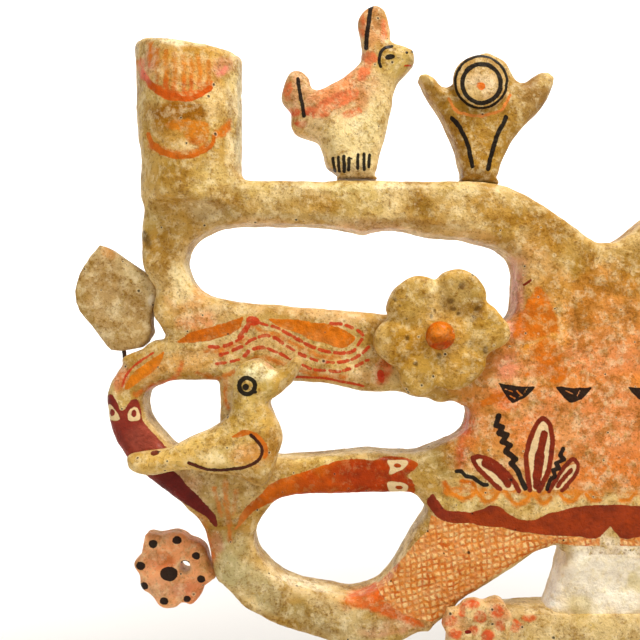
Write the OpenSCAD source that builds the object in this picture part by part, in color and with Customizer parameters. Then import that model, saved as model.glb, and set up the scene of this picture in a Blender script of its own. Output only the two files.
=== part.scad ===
// Clay tree of life: a flat, hand-built candelabra of luted coils and
// slabs on a hollow bell base, with two candle cups, birds, rabbits,
// winged figures, flowers, leaves and rosettes.
// Millimetres, +Z up, front faces -Y. The origin is the middle of the base,
// on the surface it stands on.

/* [Candle cups] */
// Outer radius of a candle cup
cup_r = 22; // [20:0.5:22.5]
// Radius of the candle bore
candle_bore_r = 11; // [8:0.5:12.5]
// Depth of the candle bore
candle_bore_depth = 32; // [20:1:45]
// Rounding of the cup's rim
cup_rim_r = 4; // [2:0.5:5]

/* [Coils] */
// Front-to-back depth of the coils and of the trunk
coil_depth = 22; // [18:1:24]
// Front-to-back depth of the neck under the trunk
neck_depth = 18; // [14:1:18]
// Rounding of the coils' long edges
coil_edge = 4; // [2:0.5:4.5]

/* [Base] */
// Width of the bell base where it stands
base_w = 184; // [170:2:200]
// Front-to-back depth of the bell base where it stands
base_d = 110; // [90:2:130]
// Wall thickness of the bell base
base_wall = 6; // [4:0.5:7]

/* [Figures] */
// Thickness of the rabbits and winged figures
figure_depth = 20; // [14:1:24]
// Thickness of the birds, which are laid on the front of the coils
bird_depth = 18; // [12:1:22]
// Rounding of the figures' edges
figure_edge = 2; // [1:0.5:3]
// Rounding of the birds' edges
bird_edge = 2; // [1:0.5:2.5]
// Radius of a winged figure's head disc
head_disc_r = 12.5; // [11:0.5:13.5]

/* [Flowers and leaves] */
// Thickness of a large flower
flower_depth = 10; // [7:1:13]
// Radius of the button in a large flower
button_r = 6.3; // [5:0.1:7.5]
// Thickness of a leaf
leaf_depth = 11; // [8:1:14]
// Thickness of a rosette
rosette_depth = 12; // [9:1:15]
// Radius of the hole through a rosette
rosette_hole_r = 2.3; // [1.5:0.1:3]
// Radius of the iron wire pegs
wire_r = 0.9; // [0.6:0.1:1.2]

/* [Hidden] */

// The outlines are drawn on a sheet whose unit is 0.45 mm. Its x runs to
// the right and its y runs down; the object's axis is at x = 600 and the
// surface it stands on at y = 880.
unit = 0.45;
axis_x = 600;
floor_y = 880;
function at(p) = [(p[0] - axis_x) * unit, (floor_y - p[1]) * unit];
function on_sheet(pts) = [for (p = pts) at(p)];

// Signed area of a closed outline, and the outline turned counterclockwise.
function area2(p, i = 0, s = 0) = i >= len(p) ? s :
    area2(p, i + 1, s + p[i][0] * p[(i + 1) % len(p)][1]
                      - p[(i + 1) % len(p)][0] * p[i][1]);
function turned(p) = area2(p) > 0 ? p : [for (i = [len(p) - 1:-1:0]) p[i]];
function unitv(v) = v / norm(v);
function left_of(v) = [-v[1], v[0]];

// Point i of outline p moved inwards by d.
function inset_pt(p, i, d) =
    let (n = len(p),
         a = left_of(unitv(p[i] - p[(i + n - 1) % n])),
         b = left_of(unitv(p[(i + 1) % n] - p[i])),
         k = max(1 + a * b, 0.5))
    p[i] + d * (a + b) / k;

// A slab of clay with this outline, between y0 (front) and y1 (back), its
// front and back edges rounded off by e in two steps.
module slab(outline, y0, y1, e) {
    p = turned(on_sheet(outline));
    n = len(p);
    rings = [[y0, e], [y0 + 0.3 * e, 0.3 * e], [y0 + e, 0],
             [y1 - e, 0], [y1 - 0.3 * e, 0.3 * e], [y1, e]];
    m = len(rings);
    pts = [for (r = rings) for (i = [0:n - 1])
           let (q = inset_pt(p, i, r[1])) [q[0], r[0], q[1]]];
    faces = concat(
        [[for (i = [n - 1:-1:0]) i]],
        [[for (i = [0:n - 1]) (m - 1) * n + i]],
        [for (k = [0:m - 2]) for (i = [0:n - 1])
         [k * n + i, k * n + (i + 1) % n, (k + 1) * n + (i + 1) % n]],
        [for (k = [0:m - 2]) for (i = [0:n - 1])
         [k * n + i, (k + 1) * n + (i + 1) % n, (k + 1) * n + i]]);
    polyhedron(points = pts, faces = faces, convexity = 8);
}
module coil(outline) slab(outline, -coil_depth / 2, coil_depth / 2, coil_edge);
module figure(outline) plate(outline, -figure_depth / 2, figure_depth / 2, figure_edge);
// A plate of clay with this outline, between y0 (front) and y1 (back), its
// front and back edges set in by e.
module plate(outline, y0, y1, e) {
    p = turned(on_sheet(outline));
    q = [for (i = [0:len(p) - 1]) inset_pt(p, i, e)];
    union() {
        translate([0, y1 - e, 0]) rotate([90, 0, 0])
            linear_extrude(y1 - y0 - 2 * e) polygon(p);
        translate([0, y1, 0]) rotate([90, 0, 0])
            linear_extrude(y1 - y0) polygon(q);
    }
}
module other_side() mirror([1, 0, 0]) children();
// An outline whose left half is given from the top down, closed by its
// mirror image about the axis.
function both_halves(h) = concat(h, [for (i = [len(h) - 1:-1:0])
    [2 * axis_x - h[i][0], h[i][1]]]);

// Left-hand outlines, on the sheet.
upper_branch_outline = [[228, 160], [244, 166], [247, 175], [256, 180],
    [300, 180], [340, 180], [400, 180], [452, 180], [482, 181], [502, 185],
    [516, 190], [531, 197], [546, 206], [560, 215], [580, 230], [600, 247],
    [600, 262], [508, 262], [497, 252], [487, 247], [475, 244], [457, 240],
    [430, 238], [403, 232], [366, 233], [329, 230], [273, 228], [242, 228],
    [225, 231], [213, 235], [213, 198], [228, 198]];
cup_stem_outline = [[144, 198], [213, 198], [213, 235], [205, 238],
    [198, 244], [193, 252], [190, 264], [193, 276], [203, 289],
    [158, 322], [155, 306], [157, 293], [149, 279], [143, 267], [141, 250],
    [142, 225]];
middle_branch_outline = [[203, 289], [213, 297], [229, 301], [277, 305],
    [318, 308], [358, 312], [388, 315], [430, 318], [470, 321], [464, 406],
    [452, 402], [425, 398], [399, 392], [369, 391], [346, 388], [323, 382],
    [295, 380], [265, 379], [206, 380], [171, 382], [163, 336], [158, 322]];
outer_curl_outline = [[163, 336], [150, 342], [136, 349], [122, 355],
    [121, 363], [114, 373], [109, 384], [106, 400], [108, 416], [112, 428],
    [117, 441], [127, 458], [138, 470], [150, 479], [185, 446], [171, 436],
    [163, 428], [156, 417], [152, 407], [152, 397], [157, 388], [171, 382]];
bird_perch_outline = [[150, 479], [166, 491], [182, 504], [194, 517],
    [203, 528], [207, 538], [210, 548], [257, 541], [257, 528], [262, 519],
    [272, 506], [272, 455], [250, 453], [215, 453], [185, 446]];
bird_strut_outline = [[221, 380], [246, 379], [246, 453], [215, 453],
    [223, 424], [227, 408], [227, 399], [225, 390]];
lower_branch_outline = [[272, 455], [280, 452], [296, 451], [319, 450],
    [348, 448], [388, 448], [411, 447], [430, 442], [422, 503], [411, 495],
    [382, 494], [353, 495], [307, 493], [288, 497], [272, 506]];
lower_loop_outline = [[210, 548], [212, 561], [216, 575], [228, 590],
    [241, 603], [254, 611], [270, 621], [290, 628], [308, 635], [330, 643],
    [350, 648], [375, 647], [401, 640], [428, 631], [376, 575], [359, 581],
    [346, 582], [333, 580], [313, 577], [296, 573], [281, 565], [270, 556],
    [262, 547], [257, 541]];
strap_outline = [[422, 503], [555, 546], [535, 553], [520, 562], [506, 571],
    [491, 581], [477, 590], [465, 597], [455, 605], [446, 615], [438, 622],
    [428, 631], [376, 575], [385, 569], [393, 556], [405, 535], [414, 519]];
trunk_half = [[508, 262], [509, 277], [508, 295], [507, 310],
    [501, 319], [490, 322], [470, 321], [464, 406], [462, 415], [459, 424],
    [452, 431], [443, 436], [430, 442], [422, 503], [555, 546]];
neck_half = [[555, 546], [554, 552], [550, 563], [547, 573],
    [543, 584], [535, 603]];
leaf_outline = [[102, 247], [112, 252], [124, 260], [142, 271], [149, 282],
    [154, 293], [150, 306], [150, 326], [149, 338], [142, 346], [134, 349],
    [121, 353], [112, 352], [106, 347], [94, 330], [80, 313], [75, 304],
    [74, 288], [80, 271], [91, 255]];
rosette_outline = [[153, 529], [168, 529], [177, 527], [186, 530],
    [196, 536], [207, 546], [209, 551], [213, 574], [210, 579], [204, 586],
    [200, 595], [194, 602], [186, 603], [174, 607], [165, 608], [158, 604],
    [152, 596], [142, 589], [139, 579], [134, 566], [135, 560], [141, 551],
    [145, 537]];
bird_outline = [[261, 356], [251, 359], [243, 364], [238, 371], [237, 381],
    [236, 393], [235, 405], [230, 414], [218, 422], [203, 428], [185, 437],
    [172, 441], [155, 444], [142, 447], [136, 454], [138, 462], [146, 467],
    [158, 470], [178, 466], [194, 464], [208, 465], [236, 468], [250, 474],
    [265, 477], [273, 472], [276, 462], [279, 450], [284, 441],
    [285, 431], [283, 421], [278, 410], [275, 398], [288, 385], [297, 374],
    [303, 365], [302, 357], [295, 356], [288, 361], [279, 365], [270, 359]];
rabbit_outline = [[337, 180], [374, 180], [378, 168], [381, 151], [386, 131],
    [391, 109], [393, 94], [398, 84], [407, 75], [414, 65], [414, 56],
    [407, 47], [392, 41], [391, 30], [389, 18], [385, 9], [376, 3],
    [367, 7], [360, 17], [358, 28], [360, 42], [362, 54], [350, 70],
    [338, 80], [324, 88], [314, 87], [309, 79], [302, 71], [294, 70],
    [287, 75], [283, 86], [281, 96], [284, 106], [291, 115], [292, 128],
    [298, 137], [312, 142], [320, 147], [324, 158], [327, 170]];
winged_figure_outline = [[459, 180], [482, 181], [496, 184], [501, 162], [512, 142],
    [524, 127], [537, 114], [548, 99], [554, 86], [554, 77], [548, 72],
    [540, 73], [522, 82], [511, 76], [507, 65], [498, 57], [487, 54],
    [475, 56], [464, 63], [457, 72], [452, 84], [444, 86], [436, 78],
    [426, 74], [419, 78], [419, 86], [423, 96], [432, 111], [439, 123],
    [446, 137], [453, 153], [457, 168]];
large_flower_outline = [[385, 303], [388, 292], [399, 284], [412, 279],
    [430, 281], [447, 273], [462, 274], [472, 282], [479, 294], [485, 307],
    [494, 316], [502, 327], [501, 337], [495, 345], [483, 353], [477, 366],
    [467, 379], [456, 386], [445, 386], [434, 385], [421, 392], [410, 392],
    [401, 386], [395, 375], [391, 365], [377, 354], [371, 344], [371, 334],
    [377, 325], [385, 318]];
base_flower_outline = [[439, 603], [447, 600], [453, 592], [460, 585],
    [472, 584], [482, 583], [491, 586], [496, 592], [500, 600], [503, 612],
    [500, 624], [501, 634], [494, 643], [484, 648], [474, 654], [463, 656],
    [453, 652], [446, 644], [440, 636], [436, 626], [438, 614]];

cup_at = at([191, 0])[0];
cup_top = at([0, 41])[1];
cup_bottom = at([0, 198])[1];
base_top = at([0, 603])[1];
front = -coil_depth / 2;

// The cup is a solid of revolution with a round rim and a candle bore.
module candle_cup() {
    color("#b8933e")
    translate([cup_at, 0, cup_bottom]) {
        h = cup_top - cup_bottom;
        difference() {
            rotate_extrude($fn = 96) {
                translate([0, 0]) square([cup_r, h - cup_rim_r]);
                square([cup_r - cup_rim_r, h]);
                translate([cup_r - cup_rim_r, h - cup_rim_r])
                    intersection() {
                        circle(r = cup_rim_r, $fn = 48);
                        square(cup_rim_r);
                    }
            }
            translate([0, 0, h - candle_bore_depth])
                cylinder(r = candle_bore_r, h = candle_bore_depth + 1, $fn = 64);
        }
    }
}

module upper_branch() {
    color("#e0c27c")
    difference() {
        coil(upper_branch_outline);
        translate([cup_at, 0, cup_bottom])
            cylinder(r = cup_r, h = cup_top - cup_bottom, $fn = 96);
    }
}
module cup_stem() color("#cdb169") coil(cup_stem_outline);
module middle_branch() color("#dcaa62") coil(middle_branch_outline);
module outer_curl() {
    color("#a5593f")
    difference() {
        coil(outer_curl_outline);
        wire_peg();
    }
}
module bird_perch() color("#d9bd80") coil(bird_perch_outline);
module bird_strut() color("#c98545") plate(bird_strut_outline, front, 3, 1.5);
module lower_branch() color("#d26a1e") coil(lower_branch_outline);
module lower_loop() color("#c9bd94") coil(lower_loop_outline);
module strap() color("#dc9a4c") coil(strap_outline);
module trunk_panel() color("#e0915a") coil(both_halves(trunk_half));
module neck() {
    color("#cfc09a")
    slab(both_halves(neck_half), -neck_depth / 2, neck_depth / 2, 3);
}

module bird() color("#d6bf72") plate(bird_outline, front - bird_depth, front, bird_edge);
module rabbit() color("#e6cfa5") figure(rabbit_outline);
module winged_figure() color("#b9933f") figure(winged_figure_outline);
// A round disc on the front of the winged figure, its edge rounded.
module figure_head() {
    color("#e8cf9a")
    translate([at([481, 0])[0], -figure_depth / 2, at([0, 82])[1]])
        rotate([90, 0, 0])
            rotate_extrude($fn = 64) {
                square([head_disc_r, 1.5]);
                square([head_disc_r - 1.5, 3]);
                translate([head_disc_r - 1.5, 1.5]) intersection() {
                    circle(r = 1.5, $fn = 32);
                    square(1.5);
                }
            }
}
module large_flower() {
    color("#c2a84f")
    slab(large_flower_outline, front - flower_depth, front, 3);
}
// A domed button pressed on the middle of the flower.
module flower_button() {
    color("#d8641c")
    translate([at([435, 0])[0], front - flower_depth, at([0, 335])[1]])
        rotate([90, 0, 0])
            rotate_extrude($fn = 48)
                polygon([[0, 0], [button_r, 0], [button_r, 1.2],
                         [0.92 * button_r, 2.4], [0.7 * button_r, 3.5],
                         [0.4 * button_r, 4.1], [0, 4.3]]);
}
module leaf() {
    color("#b8a579")
    difference() {
        slab(leaf_outline, -leaf_depth / 2, leaf_depth / 2, 3);
        wire_peg();
    }
}
module rosette() {
    color("#dd8456")
    difference() {
        slab(rosette_outline, -rosette_depth / 2, rosette_depth / 2, 3);
        translate([at([185, 0])[0], 0, at([0, 566])[1]])
            rotate([90, 0, 0])
                cylinder(r = rosette_hole_r, h = 40, center = true, $fn = 32);
    }
}
module base_flower() color("#e8c39a") slab(base_flower_outline, -21, -12.6, 2.5);

// One iron wire, from inside the leaf to inside the outer curl.
module wire_peg() {
    translate([at([124, 0])[0], 0, at([0, 372])[1]])
        cylinder(r = wire_r, h = 16, $fn = 24);
}
module leaf_wires() {
    color("#3a3530") {
        wire_peg();
        other_side() wire_peg();
    }
}

// The bell base: oval rings, wide and deep where it stands and a thin slab
// at the shoulder, open underneath. Each entry is height, half width as a
// share of the foot's, and half depth.
bell_outer = [[0, 1, 1], [8, 0.98, 0.96], [20, 0.94, 0.86], [40, 0.88, 0.69],
    [60, 0.83, 0.51], [80, 0.785, 0.35], [100, 0.76, 0.235], [116, 0.75, 0.215],
    [121, 0.73, 0.20], [base_top, 0.68, 0.165]];
bell_inner = [[0, 1, 1], [20, 0.93, 0.84], [40, 0.865, 0.66], [60, 0.805, 0.46],
    [80, 0.75, 0.275], [94, 0.70, 0.13]];
function oval(a, b, z, n = 44) = [for (i = [0:n - 1])
    let (t = 360 * i / n, c = cos(t), s = sin(t), q = 0.8)
    [a * sign(c) * pow(abs(c), q), b * sign(s) * pow(abs(s), q), z]];
module bell_body(rings, wall) {
    n = 44;
    a = base_w / 2 - wall;
    b = base_d / 2 - wall;
    pts = [for (r = rings) each oval(a * r[1], b * r[2], r[0], n)];
    m = len(rings);
    faces = concat(
        [[for (i = [0:n - 1]) i]],
        [[for (i = [n - 1:-1:0]) (m - 1) * n + i]],
        [for (k = [0:m - 2]) for (i = [0:n - 1])
         [k * n + i, (k + 1) * n + i, (k + 1) * n + (i + 1) % n]],
        [for (k = [0:m - 2]) for (i = [0:n - 1])
         [k * n + i, (k + 1) * n + (i + 1) % n, k * n + (i + 1) % n]]);
    polyhedron(points = pts, faces = faces, convexity = 4);
}
module base_bell() {
    color("#e3d2a4")
    difference() {
        bell_body(bell_outer, 0);
        translate([0, 0, -0.01]) bell_body(bell_inner, base_wall);
    }
}

base_bell();
neck();
trunk_panel();
upper_branch();  // upper_branch_left
other_side() upper_branch();  // upper_branch_right
candle_cup();  // candle_cup_left
other_side() candle_cup();  // candle_cup_right
cup_stem();  // cup_stem_left
other_side() cup_stem();  // cup_stem_right
middle_branch();  // middle_branch_left
other_side() middle_branch();  // middle_branch_right
outer_curl();  // outer_curl_left
other_side() outer_curl();  // outer_curl_right
bird_perch();  // bird_perch_left
other_side() bird_perch();  // bird_perch_right
bird_strut();  // bird_strut_left
other_side() bird_strut();  // bird_strut_right
lower_branch();  // lower_branch_left
other_side() lower_branch();  // lower_branch_right
lower_loop();  // lower_loop_left
other_side() lower_loop();  // lower_loop_right
strap();  // strap_left
other_side() strap();  // strap_right
bird();  // bird_left
other_side() bird();  // bird_right
rabbit();  // rabbit_left
other_side() rabbit();  // rabbit_right
winged_figure();  // winged_figure_left
other_side() winged_figure();  // winged_figure_right
figure_head();  // figure_head_left
other_side() figure_head();  // figure_head_right
large_flower();  // large_flower_left
other_side() large_flower();  // large_flower_right
flower_button();  // flower_button_left
other_side() flower_button();  // flower_button_right
leaf();  // leaf_left
other_side() leaf();  // leaf_right
rosette();  // rosette_left
other_side() rosette();  // rosette_right
base_flower();  // base_flower_left
other_side() base_flower();  // base_flower_right
leaf_wires();
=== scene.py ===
import math
import bpy
import numpy as np
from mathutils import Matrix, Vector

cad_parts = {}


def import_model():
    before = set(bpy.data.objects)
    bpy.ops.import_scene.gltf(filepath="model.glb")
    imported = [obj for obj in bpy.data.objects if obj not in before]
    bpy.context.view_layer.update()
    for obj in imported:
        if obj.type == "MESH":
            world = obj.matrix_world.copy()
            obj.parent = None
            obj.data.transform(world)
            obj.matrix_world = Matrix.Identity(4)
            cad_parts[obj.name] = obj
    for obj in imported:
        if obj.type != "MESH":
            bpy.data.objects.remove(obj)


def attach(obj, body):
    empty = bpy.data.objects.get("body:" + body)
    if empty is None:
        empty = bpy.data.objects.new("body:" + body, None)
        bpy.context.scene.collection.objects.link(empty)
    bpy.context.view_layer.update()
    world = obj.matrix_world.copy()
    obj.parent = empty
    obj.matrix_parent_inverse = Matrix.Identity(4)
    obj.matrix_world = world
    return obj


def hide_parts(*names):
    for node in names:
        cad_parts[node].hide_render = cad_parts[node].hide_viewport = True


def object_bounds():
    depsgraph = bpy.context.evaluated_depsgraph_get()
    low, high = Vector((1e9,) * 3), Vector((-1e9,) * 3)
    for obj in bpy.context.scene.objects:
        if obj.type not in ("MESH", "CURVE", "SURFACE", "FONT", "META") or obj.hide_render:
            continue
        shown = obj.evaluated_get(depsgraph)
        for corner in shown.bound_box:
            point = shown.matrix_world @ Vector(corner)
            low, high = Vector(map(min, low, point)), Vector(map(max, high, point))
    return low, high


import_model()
import openvdb as vdb
from mathutils import Vector

# ------------------------------------------------------------------ frame
CAD_LO, CAD_HI = [tuple(v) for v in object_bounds()]
U = (CAD_HI[0] - CAD_LO[0]) / 1052.0      # one sheet unit, in metres
AXIS, FLOOR = 600.0, 880.0                # the axis and the floor on the sheet
PPX, PPY, ZC = 320.0, 320.0, 700.0        # the viewer stands ZC units in front of this point


def world(p):
    """Sheet (x, depth, y) to metres."""
    p = np.asarray(p, dtype=np.float64)
    return np.stack([(p[:, 0] - AXIS) * U, p[:, 1] * U, (FLOOR - p[:, 2]) * U], axis=1)


# ------------------------------------------------------------------ noise
class Noise:
    def __init__(self, seed):
        self.g = np.random.RandomState(seed).rand(32, 32, 32).astype(np.float32) * 2 - 1

    def __call__(self, p, scale, off=0.0):
        q = p / scale + off
        i = np.floor(q).astype(np.int32)
        f = (q - i).astype(np.float32)
        f = f * f * (3 - 2 * f)
        a, b = i & 31, (i + 1) & 31
        g, out = self.g, 0.0
        for cx, wx in ((a[:, 0], 1 - f[:, 0]), (b[:, 0], f[:, 0])):
            for cy, wy in ((a[:, 1], 1 - f[:, 1]), (b[:, 1], f[:, 1])):
                w = wx * wy
                out = out + w * (1 - f[:, 2]) * g[cx, cy, a[:, 2]] + w * f[:, 2] * g[cx, cy, b[:, 2]]
        return out


N1, N2, N3, N4 = Noise(3), Noise(11), Noise(29), Noise(47)


def smoothstep(a, b, x):
    t = np.clip((x - a) / (b - a), 0, 1)
    return t * t * (3 - 2 * t)


# ------------------------------------------------------------------ 2-D outlines
def curve(pts, closed=True, step=2.5):
    """A smooth line through the points (Catmull-Rom)."""
    p = np.asarray(pts, dtype=np.float64)
    n = len(p)
    out = []
    for i in range(n if closed else n - 1):
        if closed:
            a, b, c, d = p[(i - 1) % n], p[i], p[(i + 1) % n], p[(i + 2) % n]
        else:
            a, b, c, d = p[max(i - 1, 0)], p[i], p[i + 1], p[min(i + 2, n - 1)]
        m = max(1, int(np.hypot(*(c - b)) / step))
        for k in range(m):
            t = k / m
            out.append(0.5 * (2 * b + (c - a) * t + (2 * a - 5 * b + 4 * c - d) * t * t
                              + (3 * b - a - 3 * c + d) * t * t * t))
    if not closed:
        out.append(p[-1])
    return np.array(out)


def area(p):
    q = np.roll(p, -1, axis=0)
    return 0.5 * np.sum(p[:, 0] * q[:, 1] - q[:, 0] * p[:, 1])


def fit(loop, yc=0.0, half=24.4, r=11.0, hole=False, smooth=True, step=2.5):
    """An outline seen from the viewing point, brought to the middle plane of
    the slab that it belongs to."""
    p = curve(loop, True, step) if smooth else np.asarray(loop, dtype=np.float64)
    pp = np.array([PPX, PPY])
    p = pp + (p - pp) * (ZC + yc) / ZC
    t = np.roll(p, -2, axis=0) - np.roll(p, 2, axis=0)
    t /= np.maximum(np.hypot(t[:, 0], t[:, 1]), 1e-6)[:, None]
    n = np.stack([t[:, 1], -t[:, 0]], axis=1)
    if area(p) < 0:
        n = -n
    if hole:
        n = -n
    k = (half - 0.65 * r) / ZC
    return p - n * (np.abs(np.sum(n * (p - pp), axis=1)) * k)[:, None]


class Grid2:
    def __init__(self, x0, x1, y0, y1, step):
        self.x0, self.y0, self.step = x0, y0, step
        self.X = x0 + step * np.arange(int(round((x1 - x0) / step)) + 1)
        self.Y = y0 + step * np.arange(int(round((y1 - y0) / step)) + 1)

    def dist(self, segs, clamp):
        D = np.full((len(self.X), len(self.Y)), clamp, dtype=np.float32)
        for ax, ay, bx, by in segs:
            i0 = max(0, int((min(ax, bx) - clamp - self.x0) / self.step))
            i1 = min(len(self.X), int((max(ax, bx) + clamp - self.x0) / self.step) + 2)
            j0 = max(0, int((min(ay, by) - clamp - self.y0) / self.step))
            j1 = min(len(self.Y), int((max(ay, by) + clamp - self.y0) / self.step) + 2)
            if i0 >= i1 or j0 >= j1:
                continue
            x = self.X[i0:i1, None] - ax
            y = self.Y[None, j0:j1] - ay
            dx, dy = bx - ax, by - ay
            L = max(dx * dx + dy * dy, 1e-9)
            t = np.clip((x * dx + y * dy) / L, 0, 1)
            d = np.sqrt((x - t * dx) ** 2 + (y - t * dy) ** 2)
            np.minimum(D[i0:i1, j0:j1], d, out=D[i0:i1, j0:j1])
        return D

    def inside(self, loop):
        p = np.asarray(loop)
        q = np.roll(p, -1, axis=0)
        M = np.zeros((len(self.X), len(self.Y)), dtype=bool)
        for i, x in enumerate(self.X + 1e-5):
            hit = (p[:, 0] <= x) != (q[:, 0] <= x)
            if hit.any():
                a, b = p[hit], q[hit]
                y = np.sort(a[:, 1] + (x - a[:, 0]) / (b[:, 0] - a[:, 0]) * (b[:, 1] - a[:, 1]))
                M[i] = np.searchsorted(y, self.Y) % 2 == 1
        return M

    def sdf(self, loop, clamp=34.0):
        p = np.asarray(loop, dtype=np.float64)
        D = self.dist(np.hstack([p, np.roll(p, -1, axis=0)]), clamp)
        return np.where(self.inside(p), -D, D)


def smin(a, b, k):
    h = np.clip(0.5 + 0.5 * (b - a) / k, 0, 1)
    return b + (a - b) * h - k * h * (1 - h)


def smax(a, b, k):
    return -smin(-a, -b, k)


# ------------------------------------------------------------------ 3-D surfaces
def polygonise(field, origin, h):
    """Quads of a signed distance array, indexed [x, depth, y] on the sheet."""
    g = vdb.FloatGrid(1.0)
    g.copyFromArray(np.ascontiguousarray(field, dtype=np.float32))
    v, q = g.convertToQuads(isovalue=0.0)
    v = np.asarray(v, dtype=np.float64) * h + np.asarray(origin)
    return v, np.asarray(q, dtype=np.int64)


def face_normals(v, q):
    a, b = v[q[:, 2]] - v[q[:, 0]], v[q[:, 3]] - v[q[:, 1]]
    return np.cross(a, b)


def vertex_normals(v, q):
    n = face_normals(v, q)
    out = np.zeros_like(v)
    for k in range(3):
        w = np.repeat(n[:, k], 4)
        out[:, k] = np.bincount(q.ravel(), weights=w, minlength=len(v))
    return out / np.maximum(np.linalg.norm(out, axis=1), 1e-12)[:, None]


def orient(v, q):
    """World-space quads turned so that their volume is positive."""
    c = v[q].mean(axis=1)
    if np.sum(face_normals(v, q) * c) < 0:
        q = q[:, ::-1].copy()
    return q


def slab_field(d2, depth, yc, H, r):
    """d2 [x, y] and depth values to a rounded slab [x, depth, y]."""
    d = d2[:, None, :]
    Y = np.abs(depth[None, :, None] - (yc if np.isscalar(yc) else yc[:, None, :]))
    Hh = H if np.isscalar(H) else H[:, None, :]
    rr = r if np.isscalar(r) else r[:, None, :]
    qx = d + rr
    qy = Y - Hh + rr
    return (np.minimum(np.maximum(qx, qy), 0)
            + np.sqrt(np.maximum(qx, 0) ** 2 + np.maximum(qy, 0) ** 2) - rr)


def roughen(v, n, low=1.3, mid=0.7, small=0.35, fine=0.14, seed=0.0):
    d = low * N1(v, 62.0, seed) + mid * N2(v, 23.0, seed) + small * N3(v, 9.5, seed)
    d += fine * N4(v, 4.3, seed)
    return v + n * d[:, None], d


# ------------------------------------------------------------------ painting
# Marks are laid where the viewer sees them: sheet x and y of the point as it
# appears from the viewing point.
def seen(v):
    x = np.where(v[:, 0] > AXIS, 2 * AXIS - v[:, 0], v[:, 0])
    s = ZC / np.maximum(ZC + v[:, 1], 60)
    return PPX + (x - PPX) * s, PPY + (v[:, 2] - PPY) * s


class Marks:
    """Signed distance to a set of painted strokes and shapes."""
    def __init__(self):
        self.items, self.grid = [], None

    def poly(self, pts, smooth=True, cut=False):
        p = curve(pts, True, 1.5) if smooth else np.asarray(pts, dtype=np.float64)
        self.items.append(("p", p, 0, cut))
        return self

    def line(self, pts, w, smooth=False, cut=False):
        p = curve(pts, False, 1.5) if smooth else np.asarray(pts, dtype=np.float64)
        self.items.append(("l", p, w / 2.0, cut))
        return self

    def dot(self, x, y, rx, ry=None, turn=0.0, cut=False):
        ry = ry or rx
        t = np.linspace(0, 2 * np.pi, 20, endpoint=False)
        c, s = math.cos(turn), math.sin(turn)
        p = np.stack([x + c * rx * np.cos(t) - s * ry * np.sin(t),
                      y + s * rx * np.cos(t) + c * ry * np.sin(t)], axis=1)
        self.items.append(("p", p, 0, cut))
        return self

    def ring(self, x, y, r, w, squash=1.0):
        t = np.linspace(0, 2 * np.pi, 40)
        self.items.append(("l", np.stack([x + r * np.cos(t), y + squash * r * np.sin(t)], axis=1), w / 2.0, False))
        return self

    def build(self):
        allp = np.concatenate([i[1] for i in self.items])
        lo, hi = allp.min(axis=0) - 9, allp.max(axis=0) + 9
        g = Grid2(lo[0], hi[0], lo[1], hi[1], 0.5)
        F = np.full((len(g.X), len(g.Y)), 7.0, dtype=np.float32)
        for kind, p, w, cut in self.items:
            d = self._one(g, kind, p, w)
            F = np.maximum(F, -d) if cut else np.minimum(F, d)
        self.grid, self.F = g, F

    @staticmethod
    def _one(g, kind, p, w):
        if kind == "p":
            return g.sdf(p, 7.0)
        return g.dist(np.hstack([p[:-1], p[1:]]), 7.0 + w) - w

    def at(self, x, y):
        """Positive inside the mark, in sheet units, held to +-4."""
        if self.grid is None:
            self.build()
        g = self.grid
        u = (x - g.x0) / g.step
        w = (y - g.y0) / g.step
        ok = (u > 0) & (w > 0) & (u < len(g.X) - 1.01) & (w < len(g.Y) - 1.01)
        u, w = np.where(ok, u, 0), np.where(ok, w, 0)
        i, j = u.astype(int), w.astype(int)
        f, e = u - i, w - j
        F = self.F
        d = (F[i, j] * (1 - f) * (1 - e) + F[i + 1, j] * f * (1 - e)
             + F[i, j + 1] * (1 - f) * e + F[i + 1, j + 1] * f * e)
        return np.where(ok, np.clip(-d, -4, 4), -4.0)


def lin(c):
    c = np.asarray(c, dtype=np.float64) / 255.0
    return np.where(c <= 0.04045, c / 12.92, ((c + 0.055) / 1.055) ** 2.4)


M = {}


def marks(piece, layer):
    return M.setdefault((piece, layer), Marks())


# body: black
b = marks("body", "black")
b.poly([(498, 383), (517, 386), (536, 386.5), (530, 393), (525, 398), (519, 400.5), (513, 403), (508, 399), (503, 392)], False)
b.poly([(555, 386), (574, 388), (593, 387), (587, 394), (582, 399), (575, 402), (570, 403), (565, 399), (560, 392)], False)
b.line([(499, 416), (496, 425), (503, 427), (499, 433), (507, 435), (502, 442), (510, 445), (506, 452), (516, 459), (511, 463), (518, 471), (521, 479), (525, 488)], 5.6)
b.line([(457, 471), (461, 471), (466, 476), (472, 477), (477, 481), (484, 485), (487, 485)], 4.2)
b.line([(563, 449), (560, 455), (564, 459), (556, 463), (559, 468), (553, 470), (555, 476), (550, 480), (547, 489)], 4.4)
for p0, p1, w0 in (((505, 389), (512, 392), 1.1), ((517, 390), (521, 395), 1.3), ((527, 388), (524, 393), 1.0), ((510, 396), (515, 399), 1.1), ((519, 397), (523, 395), .9), ((566, 391), (573, 394), 1.2), ((580, 390), (577, 396), 1.0)):
    b.line([p0, p1], w0, cut=True)
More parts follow.
